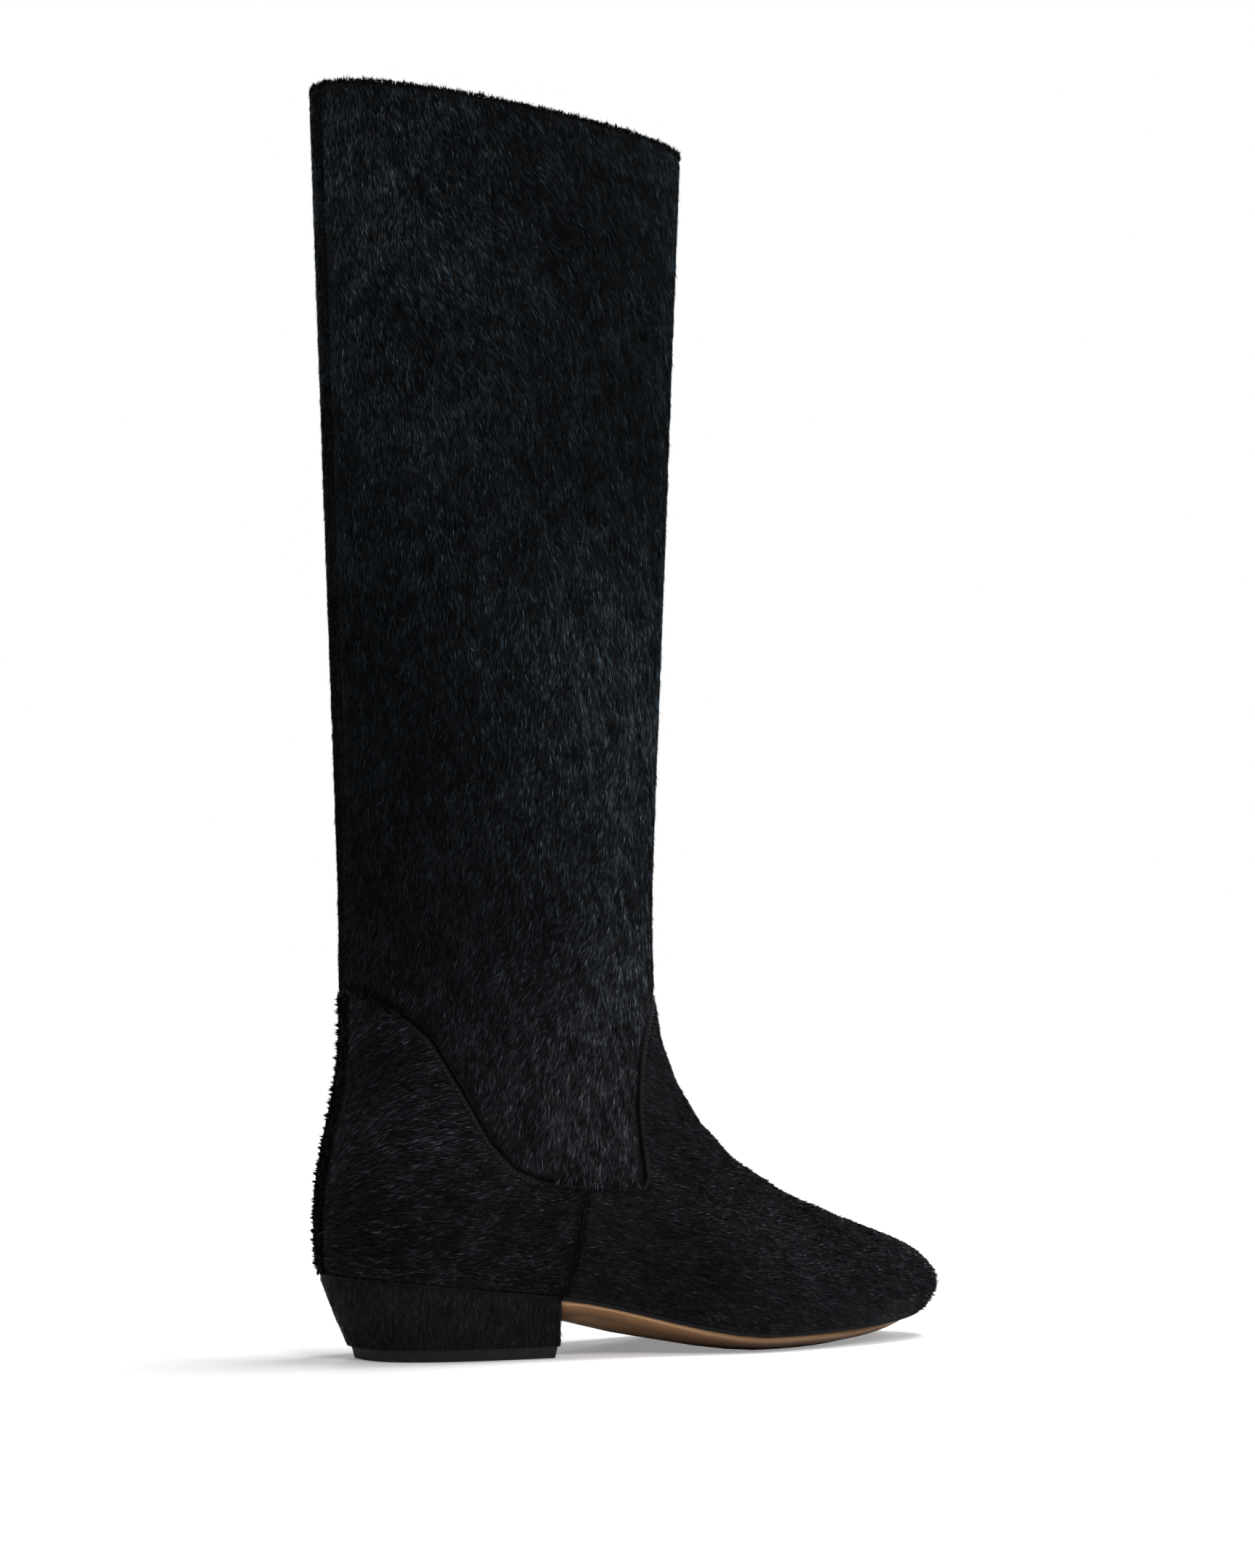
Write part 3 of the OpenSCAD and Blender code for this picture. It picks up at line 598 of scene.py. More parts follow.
def near_line(points, line):
    """Distance of each point to a line of points, and the nearest of them."""
    finder = KDTree(len(line))
    for i, p in enumerate(line):
        finder.insert(p, i)
    finder.balance()
    found = [finder.find(p) for p in points]
    return np.array([f[2] for f in found]), line[[f[1] for f in found]]


# %% Blades
ROOT_DEPTH = 0.25  # mm that a blade starts below the surface
WIDEST_AT = 0.42  # share of its length
# painted shade at the root of each blade, where the other hairs cover it; lighter at the tip
ROOT_SHADE_TO_TIP = np.array([0.4, 1.0, 1.0, 1.3])  # dark at the root, light at the tip
UV_HEIGHT = 480 * MM  # a little more than the height of the boot


class Coat:
    """Hairs before they're drawn: one row per hair in each array."""

    def __init__(self, node, root, up, flow):
        self.node = node
        self.root, self.up, self.flow = root, up, flow
        self.length = self.width = self.rise = self.tip_rise = self.roll = np.zeros(len(root))
        self.tint = np.zeros((len(root), 3))

    def rows(self):
        """Names of the arrays."""
        return [k for k in vars(self) if k != "node"]

    def keep(self, mask):
        """Drops the hairs that the mask doesn't name."""
        for k in self.rows():
            setattr(self, k, getattr(self, k)[mask])

    def add(self, other):
        """Takes over another coat's hairs."""
        for k in self.rows():
            setattr(self, k, np.concatenate([getattr(self, k), getattr(other, k)]))

    def draw(self, name):
        """Makes the mesh: four points and two triangles per hair, each point with its tint."""
        count = len(self.root)
        side = unit(np.cross(self.up, self.flow))
        turned = unit(side * np.cos(self.roll)[:, None] + self.up * np.sin(self.roll)[:, None])
        half = turned * (self.width / 2)[:, None]
        start = self.root - self.up * ROOT_DEPTH * MM
        middle = self.root + self.flow * (self.length * WIDEST_AT)[:, None]
        middle += self.up * self.rise[:, None]
        tip = self.root + self.flow * self.length[:, None] + self.up * self.tip_rise[:, None]
        points = np.stack([start, middle - half, middle + half, tip], 1).reshape(-1, 3)
        corner = (np.arange(count)[:, None] * 4 + np.array([[0, 2, 1, 1, 2, 3]])).reshape(-1)
        mesh = bpy.data.meshes.new(name)
        mesh.vertices.add(len(points))
        mesh.vertices.foreach_set("co", points.astype(np.float32).ravel())
        mesh.loops.add(len(corner))
        mesh.loops.foreach_set("vertex_index", corner.astype(np.int32))
        mesh.polygons.add(count * 2)
        mesh.polygons.foreach_set("loop_start", np.arange(0, count * 6, 3, dtype=np.int32))
        mesh.update(calc_edges=True)
        colour = mesh.attributes.new("tint", "FLOAT_COLOR", "POINT")
        shade = ROOT_SHADE_TO_TIP[None, :, None] * self.tint[:, None, :]
        rgba = np.concatenate([shade, np.ones((count, 4, 1))], 2)
        colour.data.foreach_set("color", rgba.astype(np.float32).ravel())
        self.map(mesh, points, corner)
        hair = bpy.data.objects.new(name, mesh)
        scene.collection.objects.link(hair)
        hair.data.materials.append(finish["hair"])
        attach(hair, "root")

    def map(self, mesh, points, corner):
        """Unrolls the hairs around the panel, so that a baked picture has room for each."""
        look = self.up.mean(0)
        centre = self.root.mean(0) - look * 30 * MM  # a place on the hollow side of the panel
        around = np.arctan2(points[:, 1] - centre[1], points[:, 0] - centre[0])
        around = (around - math.atan2(look[1], look[0]) + math.pi) % (2 * math.pi)
        plan = np.stack([around / (2 * math.pi), points[:, 2] / UV_HEIGHT], 1)
        plan = plan[corner].astype(np.float32)
        mesh.uv_layers.new(name="OFBake").data.foreach_set("uv", plan.ravel())


# %% [markdown]
# ## Hair and hide
# A single hair is a glossy, almost black rod. Its colour comes from the tint of each
# blade, and a light hair is also glossier than a dark one, which lies in the shade of the
# others. The hide below is black, with fine strands, and painted darker still than the
# hair, as the shade under the coat, so that gaps in the coat read as depth and not as skin.

# %% Hair and hide
coat_tree = Tree("hair", roughness=0.3)
coat_tree.set("Specular IOR Level", 0.05)
coat_tree.set("Specular Tint", (0.75, 0.87, 1.0, 1))
tint = coat_tree.add("Attribute", attribute_name="tint")
coat_tree.link(tint.outputs["Color"], "Base Color")
gloss = coat_tree.add(
    "MapRange", Value=tint.outputs["Fac"], From_Max=0.012, To_Min=0.75, To_Max=0.3
)
coat_tree.link(gloss.outputs["Result"], "Roughness")

hide = Tree("hide", roughness=0.7)
hide.set("Specular IOR Level", 0.15)
strands = hide.noise(1.0, 3.0, 0.6, hide.stretched((2600, 2600, 300)))
# the hide's own black, painted darker still as the shade under the coat
black = hide.ramp(strands, (0.35, (0.0008, 0.0009, 0.0011)), (0.7, (0.003, 0.0034, 0.004)))
hide.link(black, "Base Color")
hide.bump(strands, 0.3 * MM, 0.8)
print("finishes so far:", sorted(finish))

# %% [markdown]
# ## The other finishes
# Lining leather, insole board, cork, foam, rubber and cut edges differ in colour, grain
# and roughness, but each is matt, slightly uneven in tone and finely grained. So one
# function makes them all, from two tones, the scale of the patches, the roughness, and
# the scale and depth of the grain. Tape and metals get a weave and fine scratches.

# %% Leathers, boards, rubber
def mottled(name, dark, light, scale, roughness, grain, depth, **sockets):
    """A matt material: two tones that change slowly, and a fine grain."""
    t = Tree(name, **sockets)
    patches = t.noise(scale, 5.0)
    t.link(t.ramp(patches, (0.3, dark), (0.7, light)), "Base Color")
    fine = t.noise(grain, 3.0)
    t.link(t.spread(fine, roughness - 0.08, roughness + 0.08), "Roughness")
    t.bump(fine, depth)


mottled("lining_leather", (0.33, 0.205, 0.11), (0.42, 0.27, 0.15), 60, 0.55, 2200, 0.06 * MM)
mottled("sock_leather", (0.36, 0.22, 0.115), (0.46, 0.29, 0.16), 70, 0.5, 2400, 0.05 * MM)
mottled("insole_fibre", (0.2, 0.14, 0.08), (0.3, 0.22, 0.13), 300, 0.85, 3000, 0.08 * MM)
mottled("seat_fibre", (0.09, 0.06, 0.035), (0.15, 0.1, 0.06), 300, 0.8, 3000, 0.08 * MM)
mottled("pressed_cork", (0.28, 0.16, 0.07), (0.5, 0.33, 0.16), 900, 0.85, 1500, 0.2 * MM)
mottled("stiff_sheet", (0.5, 0.46, 0.39), (0.6, 0.56, 0.48), 200, 0.8, 2500, 0.05 * MM)
mottled("latex_foam", (0.6, 0.55, 0.37), (0.7, 0.65, 0.46), 400, 0.9, 1800, 0.15 * MM)
mottled("moulded_heel", (0.035, 0.035, 0.038), (0.05, 0.05, 0.053), 80, 0.45, 1200, 0.03 * MM)
mottled(
    "dark_rand", (0.004, 0.0045, 0.006), (0.008, 0.009, 0.0115), 500, 0.7, 2500, 0.05 * MM,
    Specular_IOR_Level=0.12,
)
mottled(
    "lift_rubber", (0.0105, 0.0105, 0.012), (0.0185, 0.018, 0.02), 700, 0.6, 3500, 0.04 * MM,
    Specular_IOR_Level=0.25,
)
mottled(
    "cut_edge", (0.0042, 0.0038, 0.005), (0.0095, 0.0088, 0.011), 900, 0.8, 4000, 0.08 * MM,
    Specular_IOR_Level=0.08,
)
mottled("thread", (0.009, 0.009, 0.011), (0.03, 0.03, 0.034), 2500, 0.6, 6000, 0.04 * MM)

# %% Tape and metals
weave = Tree("woven_tape", roughness=0.85)
ribs = weave.add("TexWave", Scale=900, Distortion=1.0, Vector=weave.place).outputs["Fac"]
black = weave.ramp(ribs, (0.2, (0.008, 0.008, 0.009)), (0.8, (0.03, 0.03, 0.032)))
weave.link(black, "Base Color")
weave.bump(ribs, 0.1 * MM)


def metal(name, colour, roughness, scale):
    """A brushed metal with fine lengthwise scratches."""
    t = Tree(name, Metallic=1.0)
    lines = t.noise(1.0, 4.0, 0.6, t.stretched((scale / 20, scale, scale)))
    dark = tuple(c * 0.7 for c in colour)
    t.link(t.ramp(lines, (0.3, dark), (0.7, colour)), "Base Color")
    t.link(t.spread(lines, roughness - 0.08, roughness + 0.12), "Roughness")


metal("spring_steel", (0.3, 0.33, 0.38), 0.35, 2500)
metal("rivet_brass", (0.6, 0.42, 0.16), 0.3, 2500)
metal("plated_steel", (0.5, 0.51, 0.53), 0.3, 3000)
print("finishes:", len(finish))

# %% [markdown]
# ## The leather sole
# Sole leather is tan. Painted shade makes it darker the more a face looks down, save the
# very bottom, which is greyer, and darker still near the ground, where little light
# reaches under the boot. The way a face looks and its height tell the node tree where that is.

# %% Sole leather
sole = Tree("sole_leather", roughness=0.5, Specular_IOR_Level=0.3)
patches = sole.noise(45, 6.0)
tan = sole.ramp(patches, (0.3, (0.38, 0.22, 0.105)), (0.7, (0.46, 0.28, 0.14)))
facing = sole.add("NewGeometry").outputs["Normal"]
upright = sole.add("SeparateXYZ", Vector=facing).outputs["Z"]
turned_in = sole.add("MapRange", Value=upright, From_Min=0.0, From_Max=-1.0)
# painted shade: darker the more a face looks down, greyer at the very bottom
downward_shade = sole.ramp(
    turned_in.outputs["Result"], (0.15, (1, 1, 1)), (0.5, (0.6, 0.5, 0.42)),
    (0.85, (0.3, 0.25, 0.21)), (0.98, (0.6, 0.6, 0.65)),
)
above_ground = sole.add("SeparateXYZ", Vector=sole.place).outputs["Z"]
height = sole.add("MapRange", Value=above_ground, From_Max=14 * MM)
# painted shade near the ground, where little light reaches under the boot
ground_shade = sole.ramp(
    height.outputs["Result"], (0.1, (0.22, 0.2, 0.19)), (0.35, (0.55, 0.52, 0.5)),
    (0.7, (0.9, 0.88, 0.87)), (0.95, (1, 1, 1)),
)
for shade_layer in (downward_shade, ground_shade):
    tone = sole.add("MixRGB", blend_type="MULTIPLY", Fac=1.0)
    sole.tree.links.new(tan, tone.inputs["Color1"])
    sole.tree.links.new(shade_layer, tone.inputs["Color2"])
    tan = tone.outputs["Color"]
sole.link(tan, "Base Color")
fine = sole.noise(1800, 3.0)
sole.link(sole.spread(fine, 0.42, 0.6), "Roughness")
sole.bump(fine, 0.04 * MM)
print("sole leather nodes:", len(sole.tree.nodes))

# %% [markdown]
# ## Dressing the solid pieces
# Every piece of the solid model gets its finish, also those that are hidden, because the
# boot may be shown opened up. The shapes stay as they are.

# %% Dress the solid pieces
DRESS = {
    "hide": CALF + ["heel_cover"],
    "lining_leather": [
        "shaft_lining_outer", "shaft_lining_inner", "heel_lining", "vamp_lining",
    ],
    "stiff_sheet": ["heel_stiffener", "toe_puff"],
    "woven_tape": ["topline_tape", "back_seam_tape", "front_seam_tape"],
    "insole_fibre": ["insole_board"],
    "seat_fibre": ["seat_board"],
    "spring_steel": ["shank"],
    "rivet_brass": ["shank_rivets"],
    "pressed_cork": ["bottom_filler"],
    "latex_foam": ["heel_pad"],
    "sock_leather": ["sock_lining"],
    "dark_rand": ["sole_rand"],
    "sole_leather": ["outsole"],
    "moulded_heel": ["heel_block"],
    "plated_steel": ["heel_screw", "heel_nails", "lift_pins"],
    "lift_rubber": ["top_lift"],
}
for material_name, names in DRESS.items():
    for name in names:
        node = nodes[name]
        if not node.material_slots:
            node.data.materials.append(finish[material_name])
        for material_slot in node.material_slots:
            material_slot.material = finish[material_name]
print("dressed:", sum(len(v) for v in DRESS.values()))


# %% [markdown]
# ## Smooth copies of the sole and its rand
# The solid outsole and rand are made of flat facets, which catch the light one by one. A
# real sole edge is trimmed and rubbed until it is one smooth surface, so both get a copy
# whose shading runs smoothly over the facets. The copy keeps the solid's shape.

# %% Smooth the sole
def smooth_copy(node, name, angle):
    """A merged, smoothly shaded copy that stands for a solid."""
    bpy.ops.object.select_all(action="DESELECT")
    piece = nodes[node].copy()
    piece.data = nodes[node].data.copy()
    piece.name = name
    scene.collection.objects.link(piece)
    piece.select_set(True)
    bpy.context.view_layer.objects.active = piece
    bpy.ops.object.mode_set(mode="EDIT")
    bpy.ops.mesh.select_all(action="SELECT")
    bpy.ops.mesh.remove_doubles(threshold=0.01 * MM)
    bpy.ops.mesh.normals_make_consistent(inside=False)
    bpy.ops.object.mode_set(mode="OBJECT")
    bpy.ops.object.shade_smooth_by_angle(angle=math.radians(angle))
    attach(piece, "root")
    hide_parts(node)
    print(name, "faces:", len(piece.data.polygons))


smooth_copy("outsole", "leather_sole", 50)
smooth_copy("sole_rand", "wrapped_rand", 40)


# %% [markdown]
# ## Length, lie and colour of the hair
# A coat isn't even. Hairs cling together in locks half a millimetre wide, locks form
# patches, and broad areas catch the light in their own way. So the lift, turn and tint of
# each hair add up random fields of several sizes and something of its own. Most hairs are
# blue-black, those lower down a warmer black, a few are brown, and some long guard hairs
# lie on top.

# %% Measures and colours
HAIR_LENGTH = {"vamp": (2.2, 4.0), "heel_cover": (2.6, 4.4)}  # in mm, as the next two
OTHER_LENGTH = (2.6, 4.8)
HAIR_WIDTH = (0.08, 0.17)
THICKEST = 0.4 * MM
PER_MM2 = 5.2
BLUE_BLACK = np.array([0.0033, 0.0048, 0.0060])
SOFT_BLACK = np.array([0.0056, 0.0059, 0.0071])
BROWN_HAIR = np.array([0.013, 0.0085, 0.0055])
# painted sheen (+) and painted shade (-) on the coat, in broad spots
SHEEN_AND_SHADE = {  # where the coat is lighter (+) or darker (-): x, z and reach in mm, share
    "shaft": [
        (-35, 415, 60, 0.75), (40, 415, 60, -0.5), (45, 340, 48, -0.65), (5, 262, 50, 0.8),
        (35, 225, 50, 0.45), (-45, 250, 60, -1.2), (-38, 160, 50, -1.1), (62, 155, 40, 0.25),
        (62, 105, 45, 0.7), (35, 85, 30, 0.35),
    ],
    "counter": [(-14, 84, 22, 0.5), (-45, 105, 20, -0.4), (5, 42, 30, -0.4)],
    "vamp": [(120, 42, 40, -0.2), (45, 55, 20, 0.25), (190, 25, 25, 0.5)],
}
LIE = {"vamp": (74, 0.7), "counter_outer": (-84, 0.7), "counter_inner": (-84, 0.7)}
OTHER_LIE = (0, 0.45)  # the angle along which locks are drawn out, and by what share
CONTRAST = {"vamp": 0.6, "heel_cover": 0.3, "counter_outer": 0.8, "counter_inner": 0.8}
SWEEP = (14.0, 0.93)  # on the shaft, long streaks also follow this angle
STRAYS, GUARDS = 0.02, 0.1  # shares of all hairs


# %% Locks and patches
def drawn_out(points, angle, share):
    """Points moved together along an angle, so that a field over them gets long patches."""
    along = tilted(np.array([angle]))[0]
    return points - share * (points @ along)[:, None] * along


def locks_of(coat):
    """Random fields for locks, clumps and patches of hair."""
    grain = drawn_out(coat.root, *LIE.get(coat.node, OTHER_LIE))
    return [field(grain, size * MM, seed) for size, seed in ((0.5, 20), (1.1, 21), (5, 22))]


def lay(coat, random, neat, lock, clump, patch):
    """Gives each hair its width, its lift in mm and its turn in degrees."""
    count = len(coat.root)
    stray = random.uniform(size=count) < STRAYS
    coat.width = random.uniform(*HAIR_WIDTH, count) * MM
    own = random.uniform(-0.1, 0.25, count)
    coat.rise = (0.3 + 0.08 * lock + 0.1 * clump + 0.08 * patch + own) * MM
    coat.tip_rise = (0.42 + 0.2 * clump + 0.2 * patch + random.uniform(-0.3, 0.5, count)) * MM
    coat.tip_rise += stray * random.uniform(0.3, 1.1, count) * MM
    coat.width[stray] *= 1.8
    wild = (random.normal(0, 6, count) + 5 * patch) * neat + stray * random.normal(0, 20, count)
    wild = np.radians(wild)
    side = np.cross(coat.up, coat.flow)
    coat.flow = unit(coat.flow * np.cos(wild)[:, None] + side * np.sin(wild)[:, None])
    coat.roll = np.radians(random.normal(0, 30, count) + 14 * patch)


# %% Tint
def tint_hairs(coat, random, lock, clump, patch):
    """Gives each hair its tint: its own times that of its lock, patch and area."""
    count = len(coat.root)
    slow = field(coat.root, 15 * MM, 23)
    broad = field(coat.root, 70 * MM, 24)
    mood = 0.8 * lock + 0.4 * clump + 0.25 * patch + 0.3 * slow + 0.3 * broad
    contrast = CONTRAST.get(coat.node)
    if coat.node in SHAFTS:
        mood += 0.3 * field(drawn_out(coat.root, *SWEEP), 4.5 * MM, 25)
        contrast = np.interp(coat.root[:, 2], [0.1, 0.2], [0.82, 1.0])
    bright = np.exp(contrast * (1.35 * random.normal(size=count) + mood))[:, None]
    high = np.interp(coat.root[:, 2], [0.08, 0.22], [0, 1])[:, None]
    coat.tint = (BLUE_BLACK * high + SOFT_BLACK * (1 - high)) * np.clip(bright, 0.08, 15)
    brown = random.uniform(size=count) < (0.01 if coat.node == "heel_cover" else 0.05)
    coat.tint[brown] = BROWN_HAIR * np.clip(bright[brown], 0.3, 2.0)


def dress(coat, random, neat=1.0):
    """Gives hairs their width, lie and tint, and makes some of them guard hairs."""
    locks = locks_of(coat)
    lay(coat, random, neat, *locks)
    tint_hairs(coat, random, *locks)
    guard = random.uniform(size=len(coat.root)) < GUARDS
    coat.width[guard] *= 1.7
    coat.rise[guard] += 0.08 * MM
    coat.tip_rise[guard] += 0.1 * MM
    coat.tint[guard] *= 1.3


print("hairs to a square centimetre:", round(PER_MM2 * 100))

# %% [markdown]
# ## Fringes
# Where a hide is cut, its hairs stand out over the edge and show against the light. They
# are what makes the outline of the boot furry, so each kind of edge gets a row of short
# extra hairs, with measures of its own: dense and bristly at the topline, sparse at the
# feather line.

# %% Fringes
FRINGES = {  # hairs per mm, inset, length, share outwards, lift, shade, thickness
    "topline": (40, (-0.1, 0.8), (0.8, 1.7), 0.9, (0.2, 0.9), 0.45, 2.2),
    "side seam": (22, (0, 0.8), (0.7, 1.4), 0.15, (0.3, 0.8), 0.6, 1.3),
    "inner back seam": (50, (-0.9, 3), (0.8, 1.6), 0.3, (0.3, 0.9), 0.8, 1.6),
    "shaft seam": (14, (-0.2, 1), (0.6, 1.3), 0.3, (0.1, 0.4), 0.5, 1.6),
    "tongue": (60, (-0.2, 0.4), (0.7, 1.2), 0.9, (0.05, 0.3), 0.35, 2.5),
    "crest": (34, (-0.2, 1.5), (1.2, 2.4), 0.8, (0.3, 1.2), 0.6, 2.0),
    "feather line": (12, (0, 0.8), (0.5, 1.2), 0.6, (0.3, 0.8), 0.4, 1.6),
}


def fringe(coat, kind, line, random):
    """Adds the short hairs that stand along a cut edge."""
    per_mm, inset, long, out_share, lift, shade, thick = FRINGES[kind]
    place, up, out = line
    pick = random.integers(0, len(place), int(len(place) * (EDGE_STEP / MM) * per_mm))
    count = len(pick)
    jitter = random.uniform(-0.3, 0.3, (count, 3)) * MM
    root = place[pick] + jitter - out[pick] * (random.uniform(*inset, count) * MM)[:, None]
    extra = Coat(coat.node, root, up[pick], flow(coat.node, root, up[pick]))
    dress(extra, random)
    sideways = np.cross(up[pick], out[pick]) * random.normal(0, 0.35, count)[:, None]
    extra.flow = unit(out[pick] * out_share + extra.flow * (1 - abs(out_share)) + sideways)
    extra.length = random.uniform(*long, count) * MM
    tuft = np.exp(0.35 * field(root, 1.6 * MM, 31))
    extra.length *= tuft
    extra.tip_rise = random.uniform(*lift, count) * MM * tuft
    extra.rise = extra.tip_rise * random.uniform(0.4, 0.75, count)
    extra.roll = random.uniform(0, math.pi, count)
    extra.tint *= shade
    extra.width = np.minimum(extra.width * thick, THICKEST)
    coat.add(extra)


# %% Which edges have a fringe
TONGUE_X, TONGUE_TOP = 80 * MM, 165 * MM  # front seam of the shaft, just above the vamp
CREST_X = -28 * MM  # heel end of the counters' lapped edge


def fringed(node):
    """The cut edges of a panel: the kind of fringe, and the line it stands on."""
    if node in toplines:
        yield "topline", toplines[node]
    if node in side_seams:
        yield "side seam", side_seams[node]
    if node == "counter_inner":
        yield "inner back seam", back_seams[node]
    if node in SHAFTS:
        place = back_seams[node][0]
        tongue = (place[:, 0] > TONGUE_X) & (place[:, 2] < TONGUE_TOP)
        yield "shaft seam", back_seams[node]
        yield "tongue", [a[tongue] for a in back_seams[node]]
    if node in COUNTERS:
        place, upward, _, outward = edges[node]
        heel_end = place[:, 0] < CREST_X
        yield "crest", [a[heel_end] for a in (place, upward, outward)]
        yield "feather line", feathers[node]


for name in CALF:
    print(name, "has fringes:", ", ".join(kind for kind, _ in fringed(name)))

# %% [markdown]
# ## Tufts
# Round the heel and over the toe the hide is pulled tight, and its hair parts into small
# tufts that stand up. They are made from hairs that are there already: thicker, darker,
# shorter, and turned one way in short rows.

# %% Tufts
TUFTS = {  # share of the hairs, lift in mm, angle, and how a field is drawn out in x, y, z
    "vamp": (0.55, (0.8, 1.6), 80.0, (1, 0.12, 1)),
    "counter_inner": (0.6, (0.8, 1.7), -135.0, (0.2, 0.15, 1)),
}


def gather(coat, where, random):
    """Gathers a part of the hairs into tufts, as far as where says, from 0 to 1."""
    part, lift, angle, rows = TUFTS[coat.node]
    count = len(coat.root)
    tall = where * (random.uniform(size=count) < part)
    tuft = tall * np.clip(2.5 * field(coat.root * rows, 1.5 * MM, 33) - 0.4, 0.2, 1.3)
    coat.tip_rise += tuft * random.uniform(*lift, count) * MM
    coat.rise += tuft * 0.4 * lift[0] * MM
    wanted = tilted(np.full(count, angle))
    wanted = unit(wanted - dot(wanted, coat.up)[:, None] * coat.up)
    coat.flow = unit(coat.flow * (1 - 0.5 * tall)[:, None] + wanted * (0.5 * tall)[:, None])
    coat.length *= 1 - 0.55 * tall
    coat.width = np.minimum(coat.width * (1 + 1.8 * tall), THICKEST)
    coat.tint *= (1 - 0.5 * tall)[:, None]
    coat.roll = np.where(tall > 0.2, random.uniform(0, math.pi, count), coat.roll)


def fluff_toe(coat, random):
    """Lifts and tufts the hair at the tip of the toe and on top of the foot."""
    x, z, count = coat.root[:, 0] / MM, coat.root[:, 2] / MM, len(coat.root)
    fluff = np.interp(x, [178, 200], [0, 1]) * np.interp(z, [4, 9, 20, 32], [0.4, 1, 1, 0.25])
    fluff = np.maximum(fluff, 0.8 * np.clip(coat.up[:, 2], 0, 1))
    coat.rise += fluff * random.uniform(0.1, 0.7, count) * MM
    coat.tip_rise += fluff * random.uniform(0.1, 1.0, count) * MM
    gather(coat, fluff, random)


def bristle_back(coat, random):
    """Tufts the inner counter's hair next to the back seam, and paints it lighter against the
    shade that its raised hairs cast.
    """
    gap = gap_to(coat.root, back_seams[coat.node][0]) / MM
    bristle = np.interp(gap, [0, 4, 17, 26], [0.6, 1, 1, 0])
    gather(coat, bristle, random)
    # painted light, against the shade that the raised tufts cast on one another
    coat.tint *= (1 + 0.4 * bristle)[:, None]


print("panels with tufts:", sorted(TUFTS))

# %% [markdown]
# ## The coat along the lapped edges
# The counter and the vamp are shaved close at their lapped edges, so that they can be
# stitched. On the shaft the edge presses the hair down, and there the coat is short, with
# the edge's shadow painted dark on it. Only along the level part of the edge, above the
# arch, the shaft's hair is free and hangs over it, and its shadow is painted dark on the
# counter and the vamp just below. Each function below says which hairs stay.

# %% Along the lapped edges
LEVEL_TOP = 63.8 * MM  # the level part of the edge lies below this height
LEVEL_FROM, LEVEL_TO = 27 * MM, 64.5 * MM  # and between these places along the foot


def press_under(coat):
    """On the shaft: shortens the hair that the lapped edge presses on, and paints the edge's
    shadow dark on it.
    """
    gap, nearest = near_line(coat.root, lap_line)
    hangs = nearest[:, 2] < LEVEL_TOP
    hangs &= (nearest[:, 0] > LEVEL_FROM) & (nearest[:, 0] < LEVEL_TO)
    pressed = (gap < coat.length + 2 * MM) & ~hangs
    coat.length[pressed] = np.maximum(gap[pressed] - 1.3 * MM, 0.8 * MM)
    coat.rise[pressed] *= 0.5
    coat.tip_rise[pressed] *= 0.4
    # painted shadow of the lapped edge, darkest next to it; not where the hair hangs over
    shade = np.clip((gap - 1.5 * MM) / (5 * MM), 0.08, 1)
    coat.tint *= np.where(hangs, 1, shade)[:, None]
    over = hangs & (gap < coat.length)
    coat.length[over] = np.minimum(coat.length[over], gap[over] + 1.8 * MM)
    coat.tip_rise[over] += 1.0 * MM
    coat.rise[over] += 0.6 * MM
    return hangs | (gap > 1.2 * MM)


def shave_edge(coat):
    """On the counter and the vamp: shaves the hair at the lapped edge, by place in m."""
    gap, nearest = near_line(coat.root, edges[coat.node][0])
    if coat.node == "vamp":
        shaved = np.interp(nearest[:, 2], [0.062, 0.066, 0.125, 0.132], [0.2, 0.5, 0.5, 0.2])
    else:
        along = [-0.03, -0.02, -0.012, 0.012, 0.022]
        shaved = np.interp(nearest[:, 0], along, [0.1, 0.7, 0.9, 0.9, 0.2])
    # painted shadow of the shaft's hair, which hangs over the level part of the edge
    shade = np.interp(gap / MM, [0.3, 2.4], [0.12, 1])
    coat.tint *= np.where(nearest[:, 2] < LEVEL_TOP, shade, 1)[:, None]
    return gap > shaved * MM


print("lapped edges in all, in mm:", round(len(lap_line) * EDGE_STEP / MM))

# %% [markdown]
# ## The coat along the seams and the sole
# A closed seam catches the hair, so it lies flat and short beside it and leaves a groove,
# widest on the outer counter, whose shade is painted dark on the hair. Beside the back
# seam the inner shaft lies in the shade, which is painted on its hair too, and beside the
# butted side seam runs a thin painted shade. At the feather line the hair has to end
# before it reaches the sole.

# %% Along the seams
GROOVE = {"counter_outer": 1.4 * MM}
OTHER_GROOVE = 0.3 * MM


def gap_to(points, line):
    """Distance from each point to a line."""
    return near_line(points, line)[0]


def part_at_back(coat):
    """Flattens the hair at the closed seams of back and front, and paints their shade dark on
    it.
    """
    gap = gap_to(coat.root, back_seams[coat.node][0])
    past = gap - GROOVE.get(coat.node, OTHER_GROOVE)
    coat.length = np.minimum(coat.length, np.maximum(past * 1.05 + 0.3 * MM, 1 * MM))
    press = np.clip(past / (2 * MM), 0.25, 1)
    coat.rise *= press
    coat.tip_rise *= press
    # painted shade of the groove beside the seam
    coat.tint *= np.clip(past / (1.2 * MM), 0.15, 1)[:, None]
    # painted shade on the inner shaft's rear, near the back seam
    if coat.node == "shaft_inner":
        behind = coat.root[:, 0] <= 0
        shade = np.interp(gap / MM, [5, 11], [0.4, 1])
        coat.tint *= np.where(behind, shade, 1)[:, None]
    return past > 0


